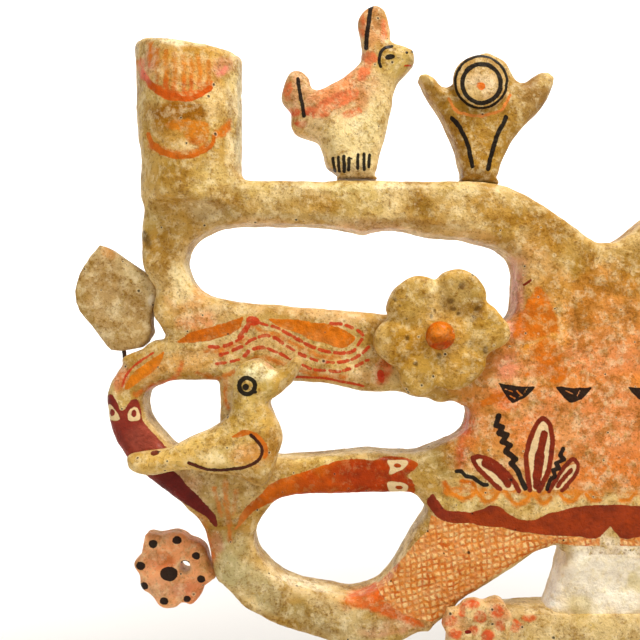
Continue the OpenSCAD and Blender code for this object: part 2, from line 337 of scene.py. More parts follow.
# body: brown and maroon
m = marks("body", "maroon")
m.poly([(110, 394), (114, 397), (118, 404), (121, 411), (125, 409), (128, 404), (131, 400), (135, 399), (138, 401), (141, 410), (142, 418), (146, 425), (153, 433), (162, 442), (164, 445), (170, 452), (160, 466), (140, 470), (127, 460), (121, 450), (115, 440), (110, 430), (106, 416), (104, 402)])
m.poly([(109, 404), (114, 408), (118, 414), (120, 419), (115, 421), (109, 419), (106, 411)], cut=True)
m.poly([(129, 411), (135, 407), (139, 411), (140, 419), (133, 421), (128, 419)], cut=True)
m.dot(112.3, 412.5, 2.6, 3.8)
m.dot(134, 413.5, 2.6, 3.8)
m.poly([(148, 474), (159, 473), (168, 471), (175, 472), (181, 478), (188, 486), (199, 497), (207, 506), (213, 512), (216, 518), (218, 525), (215, 527), (207, 518), (197, 511), (186, 504), (173, 496), (160, 487), (150, 480)])
m.poly([(432, 494), (436, 498), (442, 506), (446, 510), (457, 511), (470, 512), (480, 510), (487, 507), (492, 505), (500, 507), (509, 514), (519, 519), (528, 520), (537, 519), (548, 514), (560, 511), (575, 507), (600, 505), (620, 508), (600, 537), (580, 537), (560, 536), (542, 535), (528, 533), (515, 531), (503, 528), (491, 527), (480, 526), (470, 523), (457, 524), (448, 522), (439, 518), (431, 510), (427, 502)])
for shape in ([(543, 418), (537, 424), (532, 434), (528, 447), (526, 458), (527, 471), (530, 490)],
              [(543, 418), (548, 422), (551, 430), (552.5, 440), (551, 456), (548, 472), (543, 483), (539, 491)]):
    m.line(shape, 5.0, True)
m.line([(544, 434), (542, 446), (539, 457), (537, 470), (537, 486)], 7.6, True)
m.line([(540, 456), (537, 476)], 9.6, True)
m.line([(473, 458), (480, 456.5), (489, 459), (498, 465), (507, 473), (514, 482), (519, 491)], 4.8, True)
m.line([(473, 458), (475, 464), (482, 472), (490, 480), (500, 489)], 4.6, True)
m.line([(485, 463.5), (493, 468.5), (501, 475), (508, 484)], 7.4, True)
m.line([(578, 464), (573, 459), (566, 465), (560, 473), (554, 483), (549, 491)], 4.4, True)
m.line([(578, 464), (577, 472), (571, 481), (562, 491)], 4.2, True)
m.line([(571, 470), (565, 477), (558, 486)], 4.6, True)
w = marks("body", "pale")
w.poly([(543, 420), (534, 436), (529, 455), (531, 478), (533, 490), (538, 490), (545, 478), (550, 456), (550, 436)])
w.poly([(475, 459), (488, 461), (502, 471), (515, 489), (501, 488), (484, 473)])
w.poly([(576, 465), (566, 468), (554, 488), (562, 488), (574, 476)])
w.poly([(109.5, 403), (115, 409), (120, 419), (114, 420), (108, 418), (106.5, 411)])
w.poly([(129, 411), (135, 406.5), (139.5, 411), (140, 419), (133, 421), (127.5, 419)])
w.poly([(387, 461), (393, 460), (407, 460), (408, 464), (403, 469), (392, 474), (389, 473), (390, 468)])
w.poly([(388, 483), (399, 482), (407, 485), (408, 489), (404, 492), (390, 491)])
m.dot(397.5, 465.6, 4.0, 2.2)
m.dot(399, 487.6, 4.0, 2.0)
marks("body", "red").line([(295, 377), (320, 378), (344, 382), (363, 386)], 2.6, True)
marks("body", "red").dot(381, 376, 3.4, 7, -.2)
m.line([(524, 285), (531, 280)], 2.4)
# body: orange paint
o = marks("body", "orange")
o.poly([(231, 532), (237, 526), (239, 519), (241, 513), (250, 503), (260, 495), (266, 488), (272, 483), (284, 478), (296, 474), (319, 467), (336, 461), (348, 459), (360, 459), (372, 460), (379, 458), (390, 456), (405, 457), (415, 461), (418, 465), (414, 470), (407, 476), (412, 480), (414, 485), (415, 492), (405, 496), (382, 497), (353, 497), (307, 496), (290, 497), (274, 502), (264, 506), (255, 511), (245, 520), (239, 528)])
o.poly([(387, 461), (393, 460), (407, 460), (408, 464), (403, 469), (392, 474), (389, 473), (390, 468)], cut=True)
o.dot(397.5, 465.3, 4.2, 2.6)
o.poly([(388, 483), (399, 482), (407, 485), (408, 489), (404, 492), (390, 491)], cut=True)
o.dot(399, 487.6, 4.2, 2.3)
o.poly([(269, 319), (285, 319), (300, 320), (318, 323), (329, 324), (342, 329), (354, 336), (353, 342), (342, 348), (327, 344), (309, 339), (295, 332), (282, 328), (274, 324)])
o.poly([(178, 343), (184, 337), (192, 332), (202, 329), (213, 326), (230, 321), (243, 317), (242, 323), (239, 329), (228, 335), (215, 339), (200, 342)])
o.poly([(124, 388), (129, 378), (135, 371), (142, 366), (149, 361), (156, 356), (164, 352), (163, 358), (159, 365), (154, 371), (141, 381), (129, 389)])
o = marks("body", "soft")
for sc in ([(445, 484), (449, 490), (453, 494), (461, 498), (469, 497), (476, 490), (472, 483), (462, 481)],
           [(476, 491), (480, 495), (485, 501), (492, 500), (499, 492)],
           [(506, 491), (509, 496), (513, 502), (520, 504), (527, 499), (531, 493)],
           [(537, 497), (541, 502), (546, 503), (551, 497)], [(560, 494), (566, 500), (573, 501), (579, 494)],
           [(586, 494), (592, 500), (600, 500)]):
    marks("body", "orange").line(sc, 3.2, True)
    o.line(sc, 5.0, True)
o.line([(447, 491), (470, 490), (490, 492), (510, 490), (530, 494), (555, 493), (600, 494)], 5.5, True)
oo = marks("body", "orange")
oo.line([(143, 72), (149, 82), (158, 92), (171, 98), (190, 98.5), (203, 93), (210, 88)], 5.4, True)
oo.line([(152, 86), (164, 94), (178, 97)], 7.0, True)
oo.line([(148, 134), (152, 143), (159, 151), (171, 156), (190, 156.5), (206, 150), (213, 143), (214, 137)], 4.2, True)
oo.line([(153, 146), (163, 152), (172, 155)], 5.6, True)
o.line([(141, 62), (144, 76)], 7.0)
o.line([(219, 73), (226, 69)], 5.0)
o.line([(150, 84), (170, 94), (196, 94), (210, 84)], 7.0, True)
o.line([(216, 136), (224, 128), (230, 122)], 4.0, True)
o.line([(152, 146), (171, 153), (192, 153), (208, 146)], 6.0, True)
for x, y0, y1 in ((150, 44, 66), (157, 50, 80), (165, 52, 90), (174, 54, 88), (183, 56, 92), (191, 60, 92), (199, 58, 84), (208, 62, 82)):
    o.line([(x, y0), (x + 1, (y0 + y1) / 2), (x, y1)], 3.2, True)
o.dot(197, 134, 12, 10)
o.dot(188, 125, 22, 5)
o.dot(222, 132, 10, 4, -0.5)
o.poly([(537, 287), (531, 296), (525, 306), (519, 320), (514, 334), (524, 341), (540, 338), (553, 332), (560, 334), (556, 318), (551, 304), (545, 294)])
o.dot(545, 352, 16, 10)
o.dot(500, 398, 22, 4, -0.3)
for w in ([(182, 363), (180, 370), (177, 376), (168, 381), (158, 384), (150, 387), (142, 391), (135, 395)],
          [(198, 373), (208, 376), (218, 378), (234, 372)],
          [(243, 328), (252, 326), (262, 331), (276, 335), (290, 342), (305, 350), (322, 357), (340, 357)],
          [(205, 352), (222, 350), (238, 343), (246, 338)],
          [(250, 362), (262, 357), (276, 361), (292, 367), (306, 372), (326, 376), (346, 377)],
          [(226, 380), (225, 395), (228, 408)]):
    o.line(w, 3.4, True)
o.line([(225, 482), (226, 500), (229, 520), (230, 541)], 4.2, True)
o.line([(214, 488), (217, 500), (222, 516)], 2.6, True)
o.line([(236, 490), (235, 502), (233, 514)], 2.6, True)
o.line([(203, 533), (209, 545), (212, 560)], 6.0, True)
o.poly([(346, 598), (358, 591), (370, 585), (379, 582), (386, 597), (398, 611), (418, 621), (424, 627), (408, 624), (388, 615), (366, 609), (350, 605)])
o.dot(548, 352, 14, 13)
o.dot(556, 374, 12, 8)
o.dot(536, 372, 10, 4, -.3)
# body: red dashes and edges
d = marks("body", "red")
runs = ([(210, 347), (220, 347), (231, 344), (243, 336), (249, 326), (253, 318), (260, 323), (275, 327), (289, 334), (306, 344), (323, 351), (340, 353), (352, 352), (358, 345), (363, 336), (357, 330), (344, 325), (330, 323)],
        [(220, 355), (232, 351), (243, 346), (257, 337), (269, 336), (281, 342), (293, 350), (307, 357), (325, 362), (340, 362), (351, 360), (361, 354), (370, 346)],
        [(216, 364), (231, 362), (243, 357), (251, 350), (262, 347), (276, 352), (290, 359), (303, 365), (312, 369), (329, 371), (342, 371), (356, 366), (368, 360)])
for run in runs:
    p = curve(run, False, 1.0)
    L = np.concatenate([[0], np.cumsum(np.hypot(*(p[1:] - p[:-1]).T))])
    k, s = 0, 0.0
    rs = np.random.RandomState(len(p))
    while s < L[-1]:
        e = s + 8.5 + 4 * rs.rand()
        seg = p[(L >= s) & (L <= e)]
        if len(seg) > 2:
            d.line(seg[::2] if len(seg) > 5 else seg, 2.9 + 1.1 * rs.rand())
        s = e + 2.6 + 1.2 * rs.rand()
d.dot(253, 321, 7, 5, 0.2)
d.line([(250, 322), (244, 330), (239, 337)], 3.6, True)
d.line([(145, 338), (152, 334), (160, 331)], 3.0, True)
d.line([(122, 386), (126, 376), (133, 367), (143, 359), (153, 353)], 2.4, True)
# rabbit
b = marks("rabbit", "black")
b.line([(371, 6), (369, 20), (367, 34), (366, 48)], 4.4, True)
b.line([(298, 79), (299, 88), (301, 98), (304, 116)], 3.8, True)
b.dot(390, 57, 5.2, 2.8, -0.15)
b.line([(381, 67), (379, 60), (381, 53), (385, 48.5), (392, 46.5)], 3.2, True)
b.dot(407, 53, 1.7, 1.3)
b.dot(412.5, 51.5, 1.4, 1.2)
for x0, y0, x1, y1 in ((333, 158, 335, 171), (338.5, 157, 339.5, 171), (344, 156, 344.5, 172), (349, 158, 348.5, 170), (358, 155, 358, 168), (364, 154, 364, 170), (369.5, 155, 369, 167)):
    b.line([(x0, y0), (x1, y1)], 3.3)
marks("rabbit", "red").line([(405, 66), (410, 65.5)], 1.8)
o = marks("rabbit", "soft")
for x, y, rx, ry, tt in ((338, 100, 28, 9, -.38), (316, 112, 17, 7, .1), (300, 124, 8, 4, 0), (370, 58, 9, 9, .4), (363, 26, 3, 15, 0), (352, 113, 12, 5, -.3), (288, 92, 4, 12, .2), (364, 72, 6, 12, .5), (384, 30, 3, 14, 0), (294, 112, 8, 5, 0)):
    o.dot(x, y, 0.8 * rx, 0.75 * ry, tt)
# winged figure
b = marks("winged", "black")
b.line([(452, 118), (457, 124), (461, 130), (467, 143), (470, 155), (472, 166)], 4.6, True)
b.line([(506, 117), (503, 124), (499, 131), (494, 145), (491, 157), (488, 169)], 4.6, True)
marks("winged", "orange").line([(449, 99), (454, 108), (461, 113), (480, 116), (499, 111), (505, 105), (510, 95)], 3.2, True)
b = marks("head", "black")
b.ring(481, 82, 26.0, 2.8)
b.ring(481.5, 83.4, 19.3, 4.6)
marks("head", "orange").dot(481, 86, 4.6, 4.0)
# bird
b = marks("bird", "black")
b.ring(247, 386, 8.0, 4.6)
b.dot(255, 392, 2.6, 2.0)
b.dot(245.5, 387, 3.5)
m = marks("bird", "maroon")
m.line([(251, 435), (258, 442), (262, 450), (260, 458), (253, 464), (241, 468), (226, 469.5), (212, 470), (199, 467), (189, 463)], 3.4, True)
m.dot(155, 453, 4.5, 2.6, -0.2)
marks("bird", "orange").poly([(232, 437), (240, 431), (247, 430), (256, 433), (263, 439), (268, 447), (268, 455), (264, 459), (262, 450), (257, 441), (249, 435), (241, 437)])
# rosette
b = marks("rosette", "black")
b.dot(169, 574, 9, 7.2)
for x, y, r in ((153, 544, 4.3), (177, 540, 4.7), (196, 556, 4.2), (201, 579, 4.2), (187, 599, 3.7), (164, 601, 4.3), (144, 586, 4.3), (140.5, 566, 4.8)):
    b.dot(x, y, r, r * 0.9)
b.line([(181.5, 562), (184, 560.5), (189, 562)], 1.4)
# small flower on the base, and the base's spots
m = marks("bflower", "soft")
for x, y, rx, ry in ((450, 621, 7, 5), (455, 634, 6, 4.5), (471, 604, 8, 4.5), (497, 611, 6, 6), (480, 617, 6, 6), (488, 636, 6, 5), (474, 630, 5, 4), (465, 646, 8, 4), (486, 650, 8, 4), (500, 626, 4, 5), (462, 612, 3, 5)):
    m.dot(x, y, rx, ry)
marks("bflower", "maroon").dot(468, 632, 3.6, 2.4)
m = marks("base", "soft")
m.dot(514, 626, 8, 5)
m.dot(530, 618, 6, 3)


# Patches of slip and stain, with some painted highlight, reflection and shade among them: x, y, half sizes, turn,
# colour, strength.
W = {}
# CREAM_TOP_HIGHLIGHT is the pale of the painted highlight on the upper branch's top face.
CREAM_TOP_HIGHLIGHT, OCHRE, OLIVE = (240, 219, 168), (204, 164, 92), (168, 132, 62)
PINK, PEACH, ORANGE = (236, 176, 160), (228, 150, 88), (222, 128, 34)
W["body"] = [
    (190, 120, 62, 90, 0, (206, 172, 98), .55), (185, 70, 34, 26, 0, (226, 150, 70), .45), (180, 140, 30, 18, 0, (212, 160, 80), .5),
    # (234, 110) and (188, 42) lay the cup's right side and rim top pale: painted highlight. (240, 120) is a grey strip
    # along the cup's right edge: painted reflection.
    (234, 110, 9, 70, 0, (236, 218, 176), .85), (240, 120, 4, 60, 0, (190, 180, 144), .7), (180, 112, 32, 12, 0, (164, 106, 2), .92), (166, 124, 14, 8, 0, (176, 122, 24), .7), (214, 100, 9, 18, 0, (234, 206, 152), .65), (182, 146, 12, 6, 0, (240, 208, 150), .7), (176, 176, 30, 8, 0, (196, 152, 80), .5), (190, 54, 34, 6, 0, (206, 160, 70), .6), (188, 42, 46, 4, .08, (252, 236, 198), .85), (150, 60, 8, 14, 0, PINK, .5), (224, 66, 9, 10, 0, PINK, .6),
    (212, 180, 26, 16, 0, (214, 190, 130), .6), (160, 185, 18, 26, 0, (206, 170, 100), .5), (232, 200, 14, 16, 0, OLIVE, .4), (208, 212, 30, 13, .2, (198, 176, 134), .75), (146, 241, 4, 8, 0, (84, 72, 54), .9), (146, 236, 3, 3, 0, (50, 44, 36), .8),
    (160, 245, 16, 26, 0, (190, 148, 72), .6), (178, 225, 20, 20, 0, (200, 160, 84), .5), (150, 215, 10, 20, 0, (212, 184, 120), .6),
    (187, 300, 22, 18, .4, (232, 176, 118), .6), (165, 318, 14, 14, 0, (214, 176, 110), .6), (182, 282, 14, 22, 0, (240, 220, 172), .85),
    (300, 208, 60, 12, 0, (190, 160, 100), .6), (325, 204, 16, 10, 0, OCHRE, .6), (420, 207, 18, 10, 0, OLIVE, .55),
    (500, 215, 34, 14, .4, (190, 146, 62), .75), (545, 235, 22, 20, .6, (186, 138, 56), .75), (370, 228, 40, 7, 0, (232, 190, 150), .65),
    # The cream patches at y 190 lay the upper branch's top face pale: painted highlight.
    (260, 225, 30, 7, 0, (222, 186, 140), .5), (480, 238, 30, 8, .2, (214, 170, 110), .5), (270, 190, 40, 10, 0, CREAM_TOP_HIGHLIGHT, .5),
    (360, 190, 50, 9, 0, CREAM_TOP_HIGHLIGHT, .5), (450, 190, 30, 9, 0, CREAM_TOP_HIGHLIGHT, .5), (525, 245, 16, 14, .3, (196, 146, 74), .5),
    (515, 290, 12, 34, 0, (226, 164, 150), .8), (535, 262, 22, 16, .2, (214, 168, 110), .6),
    (230, 312, 50, 10, -.15, (232, 196, 150), .5), (330, 316, 50, 8, .1, (236, 196, 150), .5), (200, 322, 20, 9, -.2, (226, 130, 70), .5),
    (385, 345, 20, 34, 0, (206, 158, 84), .6), (370, 372, 20, 14, 0, (212, 160, 96), .6), (425, 390, 30, 14, 0, (196, 160, 88), .6),
    (320, 372, 50, 9, .1, (226, 180, 120), .5), (150, 372, 18, 12, -.6, (222, 176, 120), .5), (120, 376, 8, 16, 0, (224, 120, 96), .5),
    (190, 362, 40, 12, -.2, (226, 168, 96), .5), (452, 350, 30, 50, 0, (208, 156, 84), .5), (440, 412, 26, 16, 0, (202, 162, 92), .6),
    (440, 465, 22, 16, 0, (176, 152, 90), .6), (300, 458, 50, 7, 0, (238, 214, 150), .7), (370, 453, 40, 5, 0, (236, 206, 146), .6),
    (425, 480, 14, 22, 0, (206, 170, 104), .6), (460, 450, 20, 20, 0, (226, 150, 84), .5),
    (205, 470, 40, 20, 0, (216, 192, 140), .6), (190, 490, 22, 14, .7, (206, 160, 132), .6), (215, 500, 20, 24, 0, (220, 196, 148), .7),
    (202, 530, 10, 18, 0, (206, 130, 66), .6), (245, 500, 20, 14, -.6, (222, 196, 142), .7), (232, 545, 20, 16, 0, (200, 182, 132), .7),
    (215, 545, 7, 14, 0, (226, 160, 140), .6), (232, 572, 18, 16, .7, (196, 184, 138), .75), (262, 590, 26, 14, .7, (190, 176, 132), .7),
    (310, 588, 34, 9, .3, (240, 214, 160), .7), (300, 616, 40, 10, .35, (184, 166, 122), .75), (350, 600, 20, 9, 0, (238, 196, 140), .6),
    (350, 632, 40, 12, 0, (188, 164, 116), .7), (395, 627, 28, 8, -.2, (228, 172, 140), .75), (430, 624, 14, 6, 0, (214, 170, 126), .6),
    (235, 520, 12, 20, 0, (216, 168, 92), .5), (372, 594, 22, 11, -.35, (226, 112, 44), .85), (398, 612, 26, 8, .1, (216, 120, 70), .75), (352, 602, 14, 8, -.2, (236, 150, 80), .7), (300, 352, 62, 20, .15, (236, 204, 146), .45), (215, 352, 30, 12, -.1, (236, 200, 146), .45), (382, 372, 9, 12, .3, (206, 84, 50), .75), (455, 412, 8, 10, .4, (226, 120, 90), .5), (470, 425, 12, 20, .3, (228, 128, 90), .5),
    (540, 410, 76, 80, 0, (232, 158, 104), .92), (600, 400, 60, 110, 0, (230, 154, 98), .92), (470, 424, 9, 26, 0, (220, 104, 76), .7), (462, 446, 8, 20, .2, (226, 112, 84), .7), (500, 446, 18, 10, .3, (242, 204, 152), .6), (520, 412, 18, 7, -.4, (240, 192, 136), .6), (486, 470, 12, 8, 0, (242, 198, 140), .5), (566, 430, 12, 22, 0, (236, 176, 118), .6), (500, 400, 22, 8, .5, (226, 120, 70), .6), (530, 436, 10, 22, 0, (226, 128, 62), .6), (500, 340, 40, 30, 0, (206, 140, 66), .7),
    (545, 330, 24, 32, 0, (232, 166, 72), .75), (516, 331, 10, 12, 0, (236, 168, 140), .8), (507, 364, 14, 16, 0, (234, 160, 130), .7),
    (480, 400, 18, 22, 0, (228, 164, 100), .7), (520, 440, 30, 20, 0, (232, 156, 92), .6), (480, 440, 22, 12, 0, (226, 160, 98), .7),
    (560, 380, 40, 10, 0, (226, 150, 70), .6), (590, 470, 40, 18, 0, (226, 140, 70), .7), (540, 380, 34, 5, 0, (238, 186, 130), .5),
    (560, 290, 30, 18, 0, (218, 164, 96), .7), (600, 300, 26, 40, 0, (212, 150, 76), .6),
    (458, 503, 26, 7, .1, (226, 200, 140), .95), (500, 500, 22, 7, .1, (228, 200, 142), .95), (540, 507, 26, 9, 0, (230, 200, 140), .95),
    (580, 500, 30, 7, 0, (228, 198, 140), .95), (600, 500, 20, 8, 0, (228, 198, 140), .95),
    (415, 515, 10, 22, .7, (196, 172, 120), .8), (395, 545, 9, 24, .5, (198, 176, 126), .8), (372, 580, 12, 10, -.5, (204, 182, 132), .8),
    # (350, 186) is a painted highlight on the upper branch's top edge; (400, 222) and (440, 224) are painted shade on
    # its underside; (300, 583) is a painted highlight on the lower loop's top face.
    (272, 371, 44, 7, 0, (246, 232, 190), .85), (335, 366, 50, 5, .1, (242, 212, 156), .6), (300, 583, 34, 5, .2, (252, 238, 204), .8), (318, 600, 40, 8, .3, (216, 192, 144), .6), (384, 625, 22, 8, -.1, (212, 180, 134), .6), (400, 222, 60, 5, 0, (176, 134, 72), .5), (350, 186, 90, 4, 0, (252, 238, 196), .6), (440, 224, 40, 5, 0, (180, 140, 80), .5), (200, 342, 30, 5, -.2, (240, 216, 160), .6),
    # (550, 578) and (600, 580) lay the neck near-white: painted light that offsets the shade the neck sits in.
    (550, 578, 16, 36, 0, (255, 252, 244), 1.0), (600, 580, 50, 40, 0, (252, 242, 222), .95), (552, 560, 12, 10, 0, (230, 210, 180), .6),
]
W["rabbit"] = [
    (374, 26, 16, 30, 0, (206, 148, 98), .8), (298, 92, 20, 26, 0, (238, 190, 150), .85), (345, 95, 34, 24, -.3, (234, 158, 112), .85),
    (330, 108, 26, 16, 0, (206, 140, 92), .5), (365, 75, 14, 22, 0, (226, 166, 120), .6), (394, 60, 22, 17, 0, (212, 184, 112), .85),
    (385, 52, 14, 12, 0, (196, 164, 92), .5), (345, 140, 36, 34, 0, (246, 226, 174), .8), (372, 115, 16, 40, 0, (232, 212, 160), .6),
    (310, 128, 14, 16, 0, (236, 206, 160), .6), (352, 172, 26, 8, 0, (226, 204, 160), .6), (286, 104, 7, 14, 0, (196, 168, 118), .6),
    (362, 100, 8, 12, 0, (196, 124, 74), .5), (330, 150, 8, 14, 0, (206, 182, 132), .5),
]
W["winged"] = [
    (480, 130, 60, 60, 0, (180, 140, 58), .85), (435, 92, 20, 18, .8, (186, 146, 72), .7), (537, 92, 20, 22, -.7, (152, 114, 58), .8),
    (479, 150, 16, 22, 0, (190, 146, 66), .6), (460, 130, 10, 22, 0, (170, 130, 56), .5), (505, 130, 12, 20, 0, (170, 130, 56), .5),
    (545, 80, 9, 9, 0, (226, 196, 130), .6), (427, 79, 9, 7, 0, (226, 196, 130), .6), (478, 175, 20, 7, 0, (150, 110, 50), .6),
]
W["head"] = [(481, 82, 40, 40, 0, (212, 178, 122), .8), (481, 84, 16, 15, 0, (232, 206, 166), .9), (470, 66, 10, 7, 0, (186, 146, 80), .5),
             (495, 100, 12, 8, 0, (190, 150, 84), .5)]
W["bird"] = [
    (200, 450, 70, 20, -.2, (232, 196, 118), .8), (255, 385, 30, 36, 0, (214, 184, 108), .8), (245, 418, 22, 18, 0, (226, 192, 112), .7),
    (262, 371, 18, 10, 0, (255, 246, 206), .9), (228, 455, 26, 10, -.2, (244, 222, 172), .85), (255, 405, 12, 16, 0, (240, 214, 150), .5), (275, 361, 10, 7, 0, (226, 160, 124), .8), (285, 380, 12, 10, -.8, (206, 166, 88), .6), (262, 356, 18, 5, 0, (246, 232, 206), .7),
    (150, 462, 24, 8, .2, (206, 168, 92), .6), (262, 420, 14, 22, 0, (212, 172, 92), .6), (225, 480, 60, 8, 0, (186, 140, 60), .6),
    (250, 455, 20, 12, 0, (222, 150, 70), .6), (188, 442, 40, 7, -.3, (242, 214, 146), .6), (272, 445, 8, 16, 0, (200, 150, 74), .6),
    (267, 478, 10, 8, 0, (190, 160, 100), .6),
]
W["flower"] = [
    (441, 336, 90, 80, 0, (216, 176, 96), .75), (455, 292, 30, 16, 0, (176, 150, 96), .75), (410, 300, 22, 20, 0, (188, 156, 88), .6),
    (403, 345, 22, 18, 0, (190, 142, 46), .7), (420, 382, 22, 12, 0, (206, 172, 104), .6), (490, 330, 18, 20, 0, (202, 166, 94), .6),
    (465, 370, 22, 18, 0, (190, 146, 66), .6), (440, 305, 10, 22, 0, (222, 190, 128), .6), (441, 336, 24, 22, 0, (196, 140, 60), .5),
    (434, 284, 5, 8, 0, (236, 214, 160), .7), (470, 310, 14, 10, 0, (160, 118, 50), .5), (400, 318, 10, 12, 0, (226, 190, 120), .5),
    (385, 340, 9, 14, 0, (222, 190, 126), .6), (478, 288, 8, 8, 0, (214, 186, 126), .5),
]
W["flower"] += [(x, y, r, r, 0, (96, 66, 26), .75) for x, y, r in [(448.8, 298, 3.2), (452.8, 308, 2.6), (457.6, 313.5, 2.2), (476, 309.5, 3.6), (434.5, 312.7, 1.8), (430.5, 318, 1.8), (406.5, 319, 1.6), (462, 285.6, 3.4), (393.8, 299, 2.4), (408, 337, 3.0), (472.7, 317.5, 2.4), (485.5, 349, 3.0), (441.6, 356.5, 2.6), (416, 363.7, 2.4), (470, 322, 1.6), (398, 305, 1.6)]]
W["button"] = [(441, 336, 30, 30, 0, (206, 108, 4), .97), (441, 330, 10, 7, 0, (236, 150, 60), .8), (441, 346, 14, 5, 0, (206, 70, 30), .8)]
W["leaf"] = [(115, 300, 60, 70, 0, (198, 172, 128), .8), (110, 254, 9, 7, 0, (206, 142, 70), .6), (135, 278, 12, 30, -.5, (222, 200, 152), .5),
             (98, 290, 22, 30, 0, (190, 156, 102), .6), (128, 330, 20, 16, 0, (196, 162, 104), .6), (152, 300, 6, 8, 0, (236, 224, 200), .7),
             (90, 268, 10, 14, 0, (208, 182, 134), .5)]
W["rosette"] = [(172, 568, 60, 60, 0, (255, 184, 134), .88), (185, 550, 18, 14, 0, (236, 168, 118), .7), (158, 588, 18, 12, 0, (232, 176, 136), .7), (160, 562, 14, 9, .3, (226, 122, 70), .7), (182, 590, 12, 8, 0, (214, 150, 118), .6),
                (150, 560, 12, 12, 0, (236, 176, 132), .6), (195, 590, 14, 12, 0, (226, 138, 96), .6), (186, 567, 7, 7, 0, (238, 206, 164), .8),
                (205, 560, 7, 16, 0, (206, 166, 110), .6)]
W["bflower"] = [(478, 620, 60, 60, 0, (238, 208, 156), .8), (470, 601, 20, 5, 0, (226, 190, 150), .7), (500, 612, 12, 14, 0, (226, 150, 104), .6),
                (455, 625, 14, 12, 0, (232, 164, 116), .5)]
W["base"] = [(540, 625, 60, 30, 0, (218, 190, 138), .8), (548, 606, 30, 8, 0, (244, 226, 186), .7), (600, 700, 130, 90, 0, (226, 204, 152), .7), (470, 760, 60, 40, .3, (206, 168, 100), .5),
             (560, 820, 80, 30, 0, (208, 172, 106), .5), (430, 820, 30, 40, 0, (224, 180, 130), .4), (540, 690, 40, 30, 0, (236, 208, 164), .5)]
W["wire"] = []

TINT = {   # orange varies across the piece: x, y, half sizes, turn, colour, strength
    "body": [(270, 495, 44, 28, -.5, (188, 88, 2), .95), (375, 475, 62, 22, 0, (160, 48, 0), .95), (318, 485, 26, 14, 0, (178, 68, 0), .85),
             (310, 330, 50, 16, .2, (206, 108, 6), .9), (215, 332, 40, 14, -.2, (190, 94, 4), .9), (145, 372, 26, 18, -.7, (212, 120, 14), .9),
             (190, 92, 60, 16, 0, (200, 82, 8), .9), (185, 66, 40, 16, 0, (204, 120, 30), .85), (145, 72, 8, 12, 0, (222, 110, 88), .85),
             (222, 74, 9, 10, 0, (226, 124, 108), .85), (190, 148, 50, 18, 0, (192, 94, 14), .9), (190, 128, 30, 10, 0, (204, 120, 20), .8),
             (520, 498, 90, 12, 0, (212, 124, 30), .9), (545, 325, 40, 50, 0, (206, 104, 14), .8), (228, 500, 20, 40, 0, (206, 130, 60), .7),
             (270, 355, 80, 26, 0, (204, 122, 50), .7), (165, 385, 30, 16, -.4, (208, 104, 50), .8), (205, 545, 12, 20, 0, (204, 112, 60), .8), (385, 604, 46, 24, .4, (208, 88, 24), .9), (360, 598, 12, 8, 0, (214, 110, 50), .7)],
    "winged": [(480, 110, 60, 20, 0, (204, 122, 54), .8)], "head": [(481, 86, 9, 9, 0, (222, 112, 34), .9)],
    "bird": [(255, 445, 30, 20, 0, (208, 108, 24), .8)],
    "rabbit": [(340, 80, 120, 120, 0, (220, 112, 66), .9), (300, 120, 14, 12, 0, (196, 66, 38), .8)],
    "bflower": [(478, 625, 80, 80, 0, (216, 84, 36), .95), (480, 640, 18, 10, 0, (196, 60, 26), .7)],
    "base": [(514, 626, 30, 20, 0, (216, 90, 44), .9)],
}
BROWN = {
    # (146, 442) lays the maroon on the curl lighter: painted highlight.
    "body": [(130, 418, 40, 36, 0, (136, 46, 32), .9), (146, 442, 20, 18, .7, (158, 74, 56), .75), (398, 476, 16, 18, 0, (172, 66, 6), .95), (113, 398, 10, 16, 0, (116, 34, 24), .8),
             (185, 495, 40, 26, .7, (98, 22, 16), .9), (455, 510, 26, 16, 0, (132, 44, 18), .8), (510, 522, 60, 14, 0, (150, 54, 8), .85),
             (590, 522, 60, 18, 0, (146, 52, 10), .85), (543, 455, 16, 44, 0, (122, 36, 10), .85), (490, 470, 30, 20, 0, (126, 38, 12), .85),
             (330, 380, 50, 7, 0, (150, 62, 24), .8), (380, 374, 10, 16, 0, (150, 56, 26), .8)],
    "bird": [(230, 450, 60, 30, 0, (56, 30, 12), .9), (155, 453, 8, 6, 0, (120, 50, 20), .9)],
    "bflower": [(468, 632, 10, 8, 0, (120, 24, 14), .9)],
}


def wash(col, patches, x, y, p, grow=1.0):
    """Lays soft uneven patches over the colours col, one after the other."""
    wx = x + 3.0 * N1(p, 17.0, 5.3) + 1.4 * N2(p, 6.0, 1.7)
    wy = y + 3.0 * N2(p, 17.0, 9.1) + 1.4 * N3(p, 6.0, 4.4)
    e = 0.18 * N4(p, 8.0, 2.2)
    for cx, cy, rx, ry, t, c, s in patches:
        near = np.abs(wx - cx) + np.abs(wy - cy) < 3.2 * max(rx, ry) * grow
        if not near.any():
            continue
        ax, ay = wx[near] - cx, wy[near] - cy
        u = (ax * math.cos(t) + ay * math.sin(t)) / (rx * grow)
        v = (-ax * math.sin(t) + ay * math.cos(t)) / (ry * grow)
        w = s * smoothstep(1.35, 0.55, np.sqrt(u * u + v * v) + e[near])
        col[near] = col[near] * (1 - w[:, None]) + lin(c)[None, :] * w[:, None]
    return col


